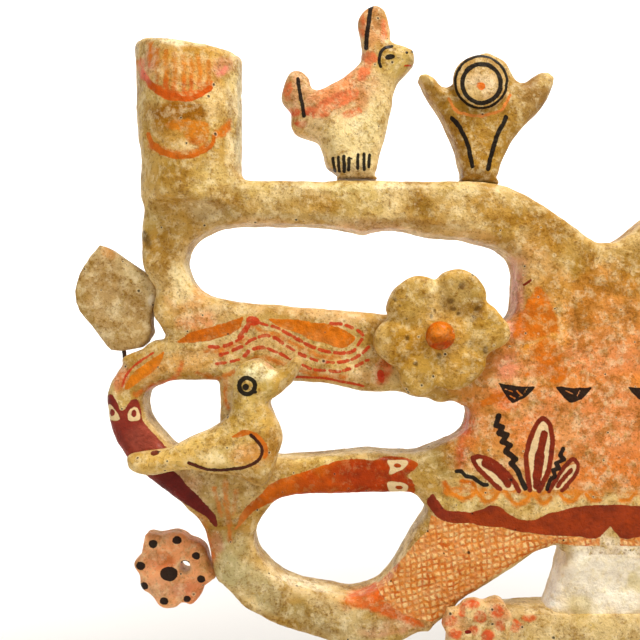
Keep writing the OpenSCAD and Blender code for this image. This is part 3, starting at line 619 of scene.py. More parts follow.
def paint(kind, v, disp, front_only=True):
    """The painted layers of a piece at its points v (sheet x, depth, y)."""
    x, y = seen(v)
    out = {}
    n = len(v)
    # the bare slip: cream, with ochre glaze pooled in the hollows
    t = 0.5 + 0.5 * N1(v, 34.0, 7.7) + 0.35 * N2(v, 13.0, 3.1) - 0.25 * disp
    t = np.clip(t, 0, 1)[:, None]
    col = lin((226, 200, 146)) * (1 - t) + lin((196, 158, 88)) * t
    back = smoothstep(0.0, 14.0, v[:, 1])
    ol = (0.62 * smoothstep(0.02, 0.55, N3(v, 26.0, 4.9) + 0.45 * N4(v, 8.0, 1.1)))[:, None]
    if kind in W and W[kind]:
        c2 = wash(col.copy(), W[kind], x, y, v)
        col = c2 * (1 - 0.75 * back[:, None]) + col * 0.75 * back[:, None]
    if kind not in ("button", "rabbit", "rosette", "bflower"):
        col = col * (1 - ol) + col * lin((206, 190, 120))[None, :] ** 0.55 * ol
    wob = 0.55 * N3(v, 5.5, 6.1), 0.55 * N4(v, 5.5, 8.3)
    for layer in ("orange", "soft", "pale", "maroon", "red", "black"):
        if (kind, layer) in M:
            a = M[(kind, layer)].at(x + wob[0], y + wob[1])
        else:
            a = np.full(n, -4.0)
        if front_only:
            a = a - 5.0 * smoothstep(4.0, 12.0, v[:, 1])
        out[layer] = a
    out["weave"] = np.full(n, -4.0)
    oc = np.tile(lin((202, 102, 8)), (n, 1))
    if kind in TINT:
        oc = wash(oc, TINT[kind], x, y, v)
    mc = np.tile(lin((124, 40, 14)), (n, 1))
    if kind in BROWN:
        mc = wash(mc, BROWN[kind], x, y, v)
    pin = 1.0 + 0.22 * N2(v, 7.0, 12.0)[:, None] + 0.16 * N3(v, 3.4, 2.0)[:, None]
    out["base"] = np.clip(col * (1.0 + 0.10 * N4(v, 6.0, 3.3)[:, None]), 0, 1)
    out["tint"] = np.clip(oc * pin, 0, 1)
    out["brown"] = np.clip(mc * pin, 0, 1)
    return out


# ------------------------------------------------------------------ materials
class Nodes:
    """A small helper for writing node trees."""
    def __init__(self, name):
        self.mat = bpy.data.materials.new(name)
        self.mat.use_nodes = True
        self.t = self.mat.node_tree
        self.t.nodes.clear()
        self.x = 0

    def new(self, kind, **kw):
        n = self.t.nodes.new(kind)
        self.x += 40
        n.location = (self.x, -(self.x * 7) % 900)
        for k, v in kw.items():
            setattr(n, k, v)
        return n

    def link(self, a, b):
        self.t.links.new(a, b)

    def put(self, sock, v):
        if hasattr(v, "is_linked") or hasattr(v, "links"):
            self.link(v, sock)
        else:
            sock.default_value = v

    def attr(self, name, colour=False):
        n = self.new("ShaderNodeAttribute", attribute_name=name, attribute_type="GEOMETRY")
        return n.outputs["Color"] if colour else n.outputs["Fac"]

    def math(self, op, a, b=None, c=None, clamp=False):
        n = self.new("ShaderNodeMath", operation=op, use_clamp=clamp)
        for s, v in zip(n.inputs, (a, b, c)):
            if v is not None:
                self.put(s, v)
        return n.outputs[0]

    def step(self, v, lo, hi, to_lo=0.0, to_hi=1.0):
        n = self.new("ShaderNodeMapRange", interpolation_type="SMOOTHSTEP")
        self.put(n.inputs["Value"], v)
        n.inputs["From Min"].default_value, n.inputs["From Max"].default_value = lo, hi
        n.inputs["To Min"].default_value, n.inputs["To Max"].default_value = to_lo, to_hi
        return n.outputs["Result"]

    def mix(self, f, a, b, blend="MIX"):
        n = self.new("ShaderNodeMix", data_type="RGBA", blend_type=blend)
        n.clamp_factor = True
        for s, v in ((n.inputs["Factor"], f), (n.inputs["A"], a), (n.inputs["B"], b)):
            pass
        socks = [s for s in n.inputs if s.enabled]
        fac = next(s for s in socks if s.name == "Factor")
        sa = next(s for s in socks if s.name == "A")
        sb = next(s for s in socks if s.name == "B")
        self.put(fac, f)
        self.put(sa, a if hasattr(a, "links") else (*a, 1.0) if len(a) == 3 else a)
        self.put(sb, b if hasattr(b, "links") else (*b, 1.0) if len(b) == 3 else b)
        return next(s for s in n.outputs if s.enabled)

    def noise(self, co, scale, detail=4.0, rough=0.55, distortion=0.0):
        n = self.new("ShaderNodeTexNoise")
        self.link(co, n.inputs["Vector"])
        n.inputs["Scale"].default_value = scale
        n.inputs["Detail"].default_value = detail
        n.inputs["Roughness"].default_value = rough
        n.inputs["Distortion"].default_value = distortion
        return n.outputs["Fac"]

    def voronoi(self, co, scale):
        n = self.new("ShaderNodeTexVoronoi", feature="F1")
        self.link(co, n.inputs["Vector"])
        n.inputs["Scale"].default_value = scale
        return n.outputs["Distance"], n.outputs["Color"]


PX = U      # one sheet unit in metres


def clay(name, rough=0.40, coat=0.08, grain=1.0, pale_=0.80, pits=1.0, marked=True, weave=False, shift=0.0):
    N = Nodes(name)
    tc = N.new("ShaderNodeTexCoord").outputs["Object"]
    base = N.attr("base", True)
    # mottled glaze: broad stains, ochre pooled in patches, cream where it thinned
    m1 = N.noise(tc, 1 / (22 * PX), 5, 0.62, 0.4)
    m2 = N.noise(tc, 1 / (7 * PX), 5, 0.65)
    m4 = N.noise(tc, 1 / (4.2 * PX), 4, 0.62, 0.15)
    m5 = N.noise(tc, 1 / (9.0 * PX), 5, 0.60, 0.15)
    m3 = N.noise(tc, 1 / (2.3 * PX), 3, 0.6)
    stain = N.step(N.math("ADD", m1, N.math("MULTIPLY", m2, 0.45)), 0.66, 0.90)
    col = N.mix(N.math("MULTIPLY", stain, 0.42 * grain), base, tuple(lin((150, 108, 34))), "MIX")
    pale = N.step(N.math("ADD", m5, N.math("MULTIPLY", m4, 0.60)), 0.74, 1.00)
    lighter = N.mix(0.50, col, tuple(lin((255, 242, 206))))
    col = N.mix(N.math("MULTIPLY", pale, pale_), col, lighter)
    dark = N.step(N.math("ADD", m4, N.math("ADD", N.math("MULTIPLY", m2, 0.55), N.math("MULTIPLY", m1, 0.35))), 0.96, 1.16)
    col = N.mix(N.math("MULTIPLY", dark, 0.80 * grain), col, (0.72, 0.60, 0.30), "MULTIPLY")
    speck = N.step(N.math("ADD", m3, N.math("MULTIPLY", m1, 0.25)), 0.66, 0.80)
    col = N.mix(N.math("MULTIPLY", speck, 0.45 * grain), col, tuple(lin((116, 70, 20))))
    hs = N.new("ShaderNodeHueSaturation")
    hs.inputs["Saturation"].default_value = 1.03
    N.link(col, hs.inputs["Color"])
    gm = N.new("ShaderNodeGamma")
    gm.inputs["Gamma"].default_value = 1.20
    N.link(hs.outputs[0], gm.inputs["Color"])
    col = gm.outputs[0]
    slip = col
    # hand-laid paint with a ragged, worn edge
    ragged = N.math("MULTIPLY_ADD", m3, 1.5, -0.75)
    thick = None
    if marked:
        wear = N.step(N.math("ADD", m2, N.math("MULTIPLY", m4, 0.5)), 0.60, 0.74, 0.80, 1.0)
        mo = N.step(N.math("ADD", N.attr("orange"), N.math("ADD", ragged, N.math("MULTIPLY_ADD", m4, 2.0, -1.0))), -0.45, 0.60)
        col = N.mix(N.math("MULTIPLY", mo, wear), col, N.attr("tint", True))
        blot = N.step(N.math("ADD", m5, N.math("MULTIPLY", m4, 0.6)), 0.70, 0.92, 1.0, 0.45)
        ms = N.step(N.math("ADD", N.attr("soft"), N.math("ADD", N.math("MULTIPLY_ADD", m2, 6.0, -3.0), N.math("MULTIPLY_ADD", m4, 7.0, -3.5))), -2.3, 1.0)
        col = N.mix(N.math("MULTIPLY", N.math("MULTIPLY", ms, blot), 0.92), col, N.attr("tint", True))
        mp = N.step(N.math("ADD", N.attr("pale"), ragged), -0.4, 0.4)
        col = N.mix(N.math("MULTIPLY", mp, 0.88), col, tuple(lin((228, 200, 150))))
        mm = N.step(N.math("ADD", N.attr("maroon"), ragged), -0.35, 0.35)
        w2 = N.step(N.math("ADD", m2, N.math("MULTIPLY", m3, 0.5)), 0.48, 0.58, 0.86, 1.0)
        col = N.mix(N.math("MULTIPLY", mm, w2), col, N.attr("brown", True))
        mr = N.step(N.math("ADD", N.attr("red"), ragged), -0.40, 0.40)
        col = N.mix(N.math("MULTIPLY", N.math("MULTIPLY", mr, wear), 0.92), col, tuple(lin((190, 48, 12))))
        mb = N.step(N.math("ADD", N.attr("black"), N.math("MULTIPLY", ragged, 0.7)), -0.30, 0.30)
        col = N.mix(N.math("MULTIPLY", mb, 0.97), col, tuple(lin((10, 7, 6))))
        thick = N.math("ADD", N.math("MULTIPLY", mo, 0.25), N.math("ADD", N.math("MULTIPLY", mm, 0.4), N.math("MULTIPLY", mb, 0.5)))
    # pinholes where bubbles opened in the glaze: a dark pit in a pale ring
    dist, cell = N.voronoi(tc, 1 / (13 * PX))
    sep = N.new("ShaderNodeSeparateColor")
    N.link(cell, sep.inputs[0])
    keep = N.step(sep.outputs[0], 0.40, 0.44)
    size = N.math("MULTIPLY_ADD", sep.outputs[1], 0.070, 0.055)
    rel = N.math("DIVIDE", dist, size)
    pit = N.math("MULTIPLY", N.step(rel, 0.7, 1.25, 1.0, 0.0), keep)
    ring = N.math("MULTIPLY", N.step(rel, 1.2, 2.2, 1.0, 0.0), keep)
    if marked:
        ring = N.math("MULTIPLY", ring, N.math("SUBTRACT", 1.0, N.math("MAXIMUM", N.math("MAXIMUM", mm, mb), N.math("MULTIPLY", mo, 0.8))))
    col = N.mix(N.math("MULTIPLY", ring, 0.50 * pits), col, tuple(lin((236, 212, 162))))
    col = N.mix(N.math("MULTIPLY", pit, 0.85 * pits), col, tuple(lin((40, 24, 10))))
    height = N.math("MULTIPLY_ADD", m1, 0.9, N.math("MULTIPLY_ADD", m2, 0.75, N.math("MULTIPLY_ADD", m4, 0.55, N.math("MULTIPLY", m3, 0.30))))
    height = N.math("SUBTRACT", height, N.math("MULTIPLY", pit, 1.1 * pits))
    if thick is not None:
        height = N.math("ADD", height, N.math("MULTIPLY", thick, 0.10))
    if weave:
        # coarse cloth pressed in the clay: an orange net with pale knots
        mask = N.attr("weave")
        sx = N.new("ShaderNodeSeparateXYZ")
        wn = N.new("ShaderNodeTexNoise")
        N.link(tc, wn.inputs["Vector"])
        wn.inputs["Scale"].default_value = 1 / (16 * PX)
        wob = N.new("ShaderNodeVectorMath", operation="SCALE")
        N.link(wn.outputs["Color"], wob.inputs[0])
        wob.inputs["Scale"].default_value = 10.0 * PX
        add = N.new("ShaderNodeVectorMath", operation="ADD")
        N.link(tc, add.inputs[0])
        N.link(wob.outputs[0], add.inputs[1])
        N.link(add.outputs[0], sx.inputs[0])
        X, Z = N.math("ABSOLUTE", sx.outputs[0]), sx.outputs[2]
        k = 2 * math.pi / (5.6 * PX)
        a = math.radians(14)
        u = N.math("ADD", N.math("MULTIPLY", X, k * math.cos(a)), N.math("MULTIPLY", Z, -k * math.sin(a) * 0.4))
        w = N.math("ADD", N.math("MULTIPLY", Z, k * math.cos(a)), N.math("MULTIPLY", X, k * math.sin(a)))
        cu = N.math("MULTIPLY_ADD", N.math("COSINE", u), 0.5, 0.5)
        cw = N.math("MULTIPLY_ADD", N.math("COSINE", w), 0.5, 0.5)
        rub = N.math("ADD", N.math("MULTIPLY_ADD", m4, 1.0, -0.5), N.math("MULTIPLY_ADD", m2, 0.9, -0.45))
        threads = N.math("MAXIMUM", N.step(N.math("ADD", cu, rub), 0.12, 1.10), N.step(N.math("ADD", cw, rub), 0.12, 1.05))
        knots = N.math("SUBTRACT", 1.0, threads)
        fade = N.step(N.math("ADD", m1, N.math("MULTIPLY", m5, 0.6)), 0.66, 0.96, 1.0, 0.50)
        net = N.mix(N.step(m5, 0.36, 0.60), tuple(lin((190, 78, 2))), tuple(lin((212, 116, 22))))
        c2 = N.mix(N.step(m2, 0.38, 0.62), tuple(lin((244, 204, 138))), tuple(lin((232, 168, 88))))
        c2 = N.mix(N.math("MULTIPLY", threads, fade), c2, net)
        flush = N.step(N.math("ADD", m5, N.math("MULTIPLY", m1, 0.5)), 0.74, 0.90)
        c2 = N.mix(N.math("MULTIPLY", flush, 0.55), c2, tuple(lin((196, 84, 4))))
        c2 = N.mix(N.math("MULTIPLY", pit, 0.85 * pits), c2, tuple(lin((40, 24, 10))))
        wm = N.step(N.math("ADD", mask, ragged), -0.6, 0.6)
        if marked:
            wm = N.math("MULTIPLY", wm, N.math("SUBTRACT", 1.0, mm))
        col = N.mix(N.math("MULTIPLY", wm, 0.92), col, c2)
        height = N.math("ADD", height, N.math("MULTIPLY", N.math("MULTIPLY", knots, wm), 0.32))
    bump = N.new("ShaderNodeBump")
    bump.inputs["Strength"].default_value = 1.0
    bump.inputs["Distance"].default_value = 2.6 * PX
    N.link(height, bump.inputs["Height"])
    p = N.new("ShaderNodeBsdfPrincipled")
    N.link(col, p.inputs["Base Color"])
    N.link(bump.outputs[0], p.inputs["Normal"])
    N.link(N.math("MULTIPLY_ADD", m2, 0.30, rough - 0.17), p.inputs["Roughness"])
    p.inputs["Coat Weight"].default_value = coat
    p.inputs["Coat Roughness"].default_value = 0.16
    p.inputs["Specular IOR Level"].default_value = 0.06
    out = N.new("ShaderNodeOutputMaterial")
    N.link(p.outputs[0], out.inputs[0])
    return N.mat


def iron(name):
    N = Nodes(name)
    tc = N.new("ShaderNodeTexCoord").outputs["Object"]
    a = N.noise(tc, 1 / (5 * PX), 5, 0.6)
    b = N.noise(tc, 1 / (1.6 * PX), 3, 0.6)
    col = N.mix(N.step(a, 0.4, 0.65), tuple(lin((52, 46, 42))), tuple(lin((112, 66, 38))))
    p = N.new("ShaderNodeBsdfPrincipled")
    N.link(col, p.inputs["Base Color"])
    p.inputs["Metallic"].default_value = 0.6
    N.link(N.step(b, 0.3, 0.7, 0.5, 0.8), p.inputs["Roughness"])
    bump = N.new("ShaderNodeBump")
    bump.inputs["Strength"].default_value = 0.5
    bump.inputs["Distance"].default_value = 0.3 * PX
    N.link(b, bump.inputs["Height"])
    N.link(bump.outputs[0], p.inputs["Normal"])
    out = N.new("ShaderNodeOutputMaterial")
    N.link(p.outputs[0], out.inputs[0])
    return N.mat


MATS = {}


def material(slot_name):
    if slot_name not in MATS:
        if slot_name == "iron_wire":
            MATS[slot_name] = iron("iron_wire")
        # The neck's slip carries fewer dark stains, so the shaded neck reads pale: painted light.
        elif slot_name == "neck_slip_painted_light":
            MATS[slot_name] = clay("neck_slip_painted_light", grain=0.35)
        elif slot_name == "button_orange":
            MATS[slot_name] = clay("button_orange", grain=0.8, pale_=0.25)
        elif slot_name == "rosette_orange":
            MATS[slot_name] = clay("rosette_orange", grain=0.55, pale_=0.7)
        elif slot_name == "bare_clay":
            MATS[slot_name] = clay("bare_clay", rough=0.62, coat=0.05, pits=1.0)
        else:
            MATS[slot_name] = clay(slot_name, weave=slot_name in ("crosshatched_strap", "cream_slip", "painted_panel"))
    return MATS[slot_name]


# ------------------------------------------------------------------ pieces
MADE = []


def close_holes(q, v):
    """Fans over the open rims of a quad mesh; returns extra points and triangles."""
    e = np.concatenate([q[:, [0, 1]], q[:, [1, 2]], q[:, [2, 3]], q[:, [3, 0]]])
    key = e[:, 0].astype(np.int64) * (len(v) + 1) + e[:, 1]
    rev = e[:, 1].astype(np.int64) * (len(v) + 1) + e[:, 0]
    rim = e[~np.isin(key, rev)]
    if len(rim) == 0:
        return np.zeros((0, 3)), np.zeros((0, 3), dtype=np.int64)
    nxt = {}
    for a, b in rim:
        nxt.setdefault(int(b), []).append(int(a))
    pts, tris = [], []
    while nxt:
        s = next(iter(nxt))
        loop, cur = [s], s
        while True:
            opts = nxt[cur]
            n = opts.pop()
            if not opts:
                del nxt[cur]
            if n == s or n not in nxt:
                break
            loop.append(n)
            cur = n
        if len(loop) < 3:
            continue
        c = len(v) + len(pts)
        pts.append(v[loop].mean(axis=0))
        for i, a in enumerate(loop):
            tris.append((a, loop[(i + 1) % len(loop)], c))
    return np.array(pts).reshape(-1, 3), np.array(tris, dtype=np.int64).reshape(-1, 3)


def piece(name, nodes, slot_name, v, q, layers, normals=None, tris=None):
    """v in sheet units (x, depth, y); q and tris index it; layers are per point."""
    me = bpy.data.meshes.new(name)
    w = world(v)
    tris = np.zeros((0, 3), dtype=np.int64) if tris is None else tris
    nq, nt = len(q), len(tris)
    me.vertices.add(len(w))
    me.vertices.foreach_set("co", w.astype(np.float32).ravel())
    me.loops.add(nq * 4 + nt * 3)
    me.polygons.add(nq + nt)
    me.loops.foreach_set("vertex_index", np.concatenate([q.ravel(), tris.ravel()]).astype(np.int32))
    starts = np.concatenate([np.arange(nq) * 4, nq * 4 + np.arange(nt) * 3]).astype(np.int32)
    me.polygons.foreach_set("loop_start", starts)
    me.polygons.foreach_set("use_smooth", np.ones(nq + nt, dtype=bool))
    me.update(calc_edges=True)
    me.validate()
    for k, a in layers.items():
        if a.ndim == 2:
            at = me.attributes.new(k, "FLOAT_COLOR", "POINT")
            at.data.foreach_set("color", np.hstack([a, np.ones((len(a), 1))]).astype(np.float32).ravel())
        else:
            at = me.attributes.new(k, "FLOAT", "POINT")
            at.data.foreach_set("value", a.astype(np.float32))
    if normals is not None and len(me.vertices) == len(normals):
        me.normals_split_custom_set_from_vertices(normals.astype(np.float32).tolist())
    ob = bpy.data.objects.new(name, me)
    bpy.context.scene.collection.objects.link(ob)
    me.materials.append(material("neck_slip_painted_light" if name == "neck_clay" else slot_name))
    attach(ob, "root")
    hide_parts(*nodes)
    MADE.append((name, len(me.polygons)))
    return ob


def mirrored(v):
    w = v.copy()
    w[:, 0] = 2 * AXIS - w[:, 0]
    return w


def finish_piece(name, node, slot_name, kind, v, q, low, mid, small, fine, both=True, paint_back=False):
    """Roughens, paints and adds a left piece, and its twin on the right."""
    sides = (("left", v, q), ("right", mirrored(v), q[:, ::-1])) if both else (("", v, q),)
    for side, p, f in sides:
        w = world(p)
        f = orient(w, f)
        n = vertex_normals(w, f)
        ns = np.stack([n[:, 0], n[:, 1], -n[:, 2]], axis=1)
        p2, d = roughen(p, ns, low, mid, small, fine)
        layers = paint(kind, p2, d, not paint_back)
        nn = vertex_normals(world(p2), f)
        nm = f"{name}_{side}_clay" if side else name + "_clay"
        nd = f"{node}_{side}" if side else node
        piece(nm, [nd], slot_name, p2, f, layers, nn)


def solid(loops, yc, half, r, h, hmap=None, rmap=None, holes=(), extra=None, pad=6.0, ymap=None):
    """A rounded slab from outlines already on its middle plane."""
    p = np.concatenate(loops)
    lo, hi = p.min(axis=0) - pad, p.max(axis=0) + pad
    g = Grid2(lo[0], hi[0], lo[1], hi[1], h)
    d2 = np.full((len(g.X), len(g.Y)), 30.0)
    for L in loops:
        d2 = np.minimum(d2, g.sdf(L, 30.0))
    for L in holes:
        d2 = np.maximum(d2, -g.sdf(L, 30.0))
    XX, YY = np.meshgrid(g.X, g.Y, indexing="ij")
    H = half if hmap is None else hmap(XX, YY, d2)
    R = r if rmap is None else rmap(XX, YY, d2)
    yy = yc if ymap is None else ymap(XX, YY, d2)
    hm = half if np.isscalar(H) else float(H.max())
    off = 0 if np.isscalar(yy) else float(np.abs(yy - yc).max())
    depth = np.arange(yc - hm - off - pad, yc + hm + off + pad, h)
    F = slab_field(d2, depth, yy, H, R)
    if extra is not None:
        F = extra(F, g.X[:, None, None], depth[None, :, None], g.Y[None, None, :])
    return polygonise(F, (g.X[0], depth[0], g.Y[0]), h)


# ------------------------------------------------------------------ the body
OUTER = [(660, 236), (630, 239), (600, 240.5), (590, 237), (578, 229), (560, 215), (546, 206), (528, 196), (512, 189), (500, 185), (482, 181.5), (452, 180), (430, 180), (400, 179.5), (340, 179.5), (300, 180), (270, 180.5), (258, 180.5), (248, 180), (238, 178), (222, 172), (200, 160), (170, 160), (152, 166), (145, 180), (144, 200), (143, 215), (142, 230), (141.5, 245), (141.5, 258), (143.5, 269), (148, 278), (152, 284), (155.5, 291), (154, 300), (152.5, 312), (155, 320), (160, 327), (163, 332), (165, 337), (158, 339.5), (150, 342), (143, 347.5), (136, 350), (128, 353), (122, 356), (121, 362), (117, 369), (113, 376), (109, 384), (106.5, 393), (106, 401), (107, 409), (108.5, 417), (111, 427), (116, 440), (121, 449), (127, 457.5), (133, 465), (141, 472), (150, 479), (162, 488), (172, 496), (182, 504), (188, 511), (197, 519), (203, 528), (206, 535), (209, 545), (212, 560), (216, 576), (221, 582), (230, 591), (241, 603), (254, 611.5), (270, 621), (290, 628.5), (308, 634.5), (330, 642), (350, 647), (376, 646), (401, 640), (410, 636), (419, 631.5), (428, 631.5), (433, 627), (438, 621), (446, 615), (458, 602), (465, 597), (477, 590), (491, 581), (506, 571), (525, 559), (535, 552.5), (545, 549), (555, 546), (554, 551), (551, 559), (549, 567), (544, 582), (540, 593), (536, 600), (532, 608), (532, 625), (600, 632), (660, 632)]
HOLE_A = [(190, 264), (191, 257), (194, 250), (199, 243), (206, 238), (215, 233.5), (225, 230.5), (240, 228.5), (257, 228), (273, 228), (300, 229), (329, 230), (350, 232.5), (360, 234.5), (366, 234.5), (373, 232.5), (385, 231.5), (403, 232.5), (417, 236), (430, 238.5), (445, 239.5), (457, 240), (466, 242), (475, 244.5), (487, 247.5), (494, 250.5), (499, 254), (504, 259), (507.5, 265), (509, 275), (508.8, 285), (508, 296), (507, 308), (503, 316), (496, 320), (485, 322), (470, 321.5), (450, 320), (430, 318), (410, 316.5), (388, 315), (374, 313.5), (358, 312), (340, 310), (318, 308), (297, 306.5), (277, 305), (255, 304), (240, 303), (229, 301), (219, 299), (211, 296.5), (204, 291.5), (198, 285), (193.5, 276.5)]
HOLE_B = [(171, 382), (179, 381), (193, 380.5), (206, 380), (218, 381), (221, 385), (225, 391), (227, 399), (227.5, 408), (225, 418), (221, 432), (215, 446), (203, 450), (190, 447), (179, 442.5), (171, 436), (164, 428), (156, 417), (152, 407), (151.5, 399), (153, 392), (158, 386.5), (164, 384)]
HOLE_C = [(247, 381), (258, 379), (270, 379), (283, 379.5), (295, 380), (309, 381), (323, 382), (334, 384.5), (346, 388), (357, 390.5), (369, 391.5), (384, 391.5), (399, 391.5), (409, 395), (417, 397.5), (425, 398), (438, 402), (452, 402), (459, 404.5), (463, 409), (461.5, 416), (459, 424), (452, 431), (443, 436), (430, 442), (420, 445.5), (411, 447.5), (400, 448), (388, 448), (372, 447), (361, 447), (348, 448), (319, 450), (296, 451.5), (280, 452.5), (262, 452), (250, 452)]
HOLE_D = [(272, 506), (279, 500), (290, 496), (307, 493.5), (330, 494), (353, 495), (382, 494.5), (400, 494), (411, 494), (418, 498), (422.5, 503), (419, 511), (414, 519), (409, 527), (405, 535), (399, 546), (393, 556), (389, 563), (384, 569), (376, 575), (368, 579), (359, 582), (350, 582.5), (341, 581.5), (333, 580), (313, 577), (296, 573), (288, 569.5), (281, 565), (271, 557), (262, 546), (258, 536), (257, 528), (262, 519)]

# Where one coil ends and the next begins (the joints are smoothed over).
TILES = {
    "upper_branch": [(228, 160), (244, 166), (256, 170), (560, 170), (600, 247), (600, 262), (508, 262), (497, 252), (470, 262), (400, 262), (273, 262), (225, 262), (213, 235), (213, 198), (228, 198)],
    "cup_stem": [(130, 198), (213, 198), (213, 235), (198, 262), (193, 276), (203, 289), (158, 322), (130, 300)],
    "middle_branch": [(203, 289), (229, 280), (388, 290), (470, 310), (464, 406), (440, 425), (300, 410), (206, 400), (171, 382), (163, 336), (158, 322)],
    "outer_curl": [(163, 336), (130, 336), (90, 400), (110, 460), (150, 479), (185, 446), (190, 410), (171, 382)],
    "bird_perch": [(150, 479), (190, 540), (210, 548), (257, 541), (272, 506), (272, 455), (250, 453), (215, 453), (185, 446)],
    "bird_strut": [(221, 380), (246, 379), (246, 453), (215, 453)],
    "lower_branch": [(272, 455), (280, 436), (411, 432), (430, 442), (422, 503), (411, 510), (307, 510), (272, 506)],
    "lower_loop": [(210, 548), (190, 580), (300, 660), (400, 660), (428, 631), (376, 575), (350, 560), (281, 550), (257, 541)],
    "strap": [(422, 503), (555, 546), (520, 575), (428, 631), (376, 575), (400, 530)],
    "trunk_panel": [(600, 262), (508, 262), (500, 300), (507, 310), (470, 321), (464, 406), (462, 415), (430, 442), (422, 503), (555, 546), (600, 546)],
    "neck": [(600, 546), (555, 546), (520, 580), (520, 640), (600, 640)],
    "candle_cup": [(120, 20), (262, 20), (244, 166), (228, 170), (228, 198), (120, 198)],
}
SLOT = {"upper_branch": "ochre_slip", "cup_stem": "ochre_slip", "middle_branch": "striped_branch", "outer_curl": "maroon_curl",
        "bird_perch": "cream_slip", "bird_strut": "orange_slip", "lower_branch": "orange_slip", "lower_loop": "cream_slip",
        "strap": "crosshatched_strap", "trunk_panel": "painted_panel", "neck": "cream_slip", "candle_cup": "ochre_slip"}
WEAVE = [(428, 531), (422, 536), (416, 542), (410, 549), (404, 557), (398, 563), (392, 569), (380, 581), (376, 585), (382, 597), (392, 607), (405, 615), (421, 620), (432, 622), (446, 613), (458, 600), (477, 588), (506, 569), (530, 553), (556, 543), (575, 546), (600, 546), (600, 536), (580, 537), (560, 536), (542, 535), (528, 533), (515, 531), (503, 528), (491, 527), (480, 526), (470, 523), (457, 524), (448, 522), (439, 518), (431, 515)]


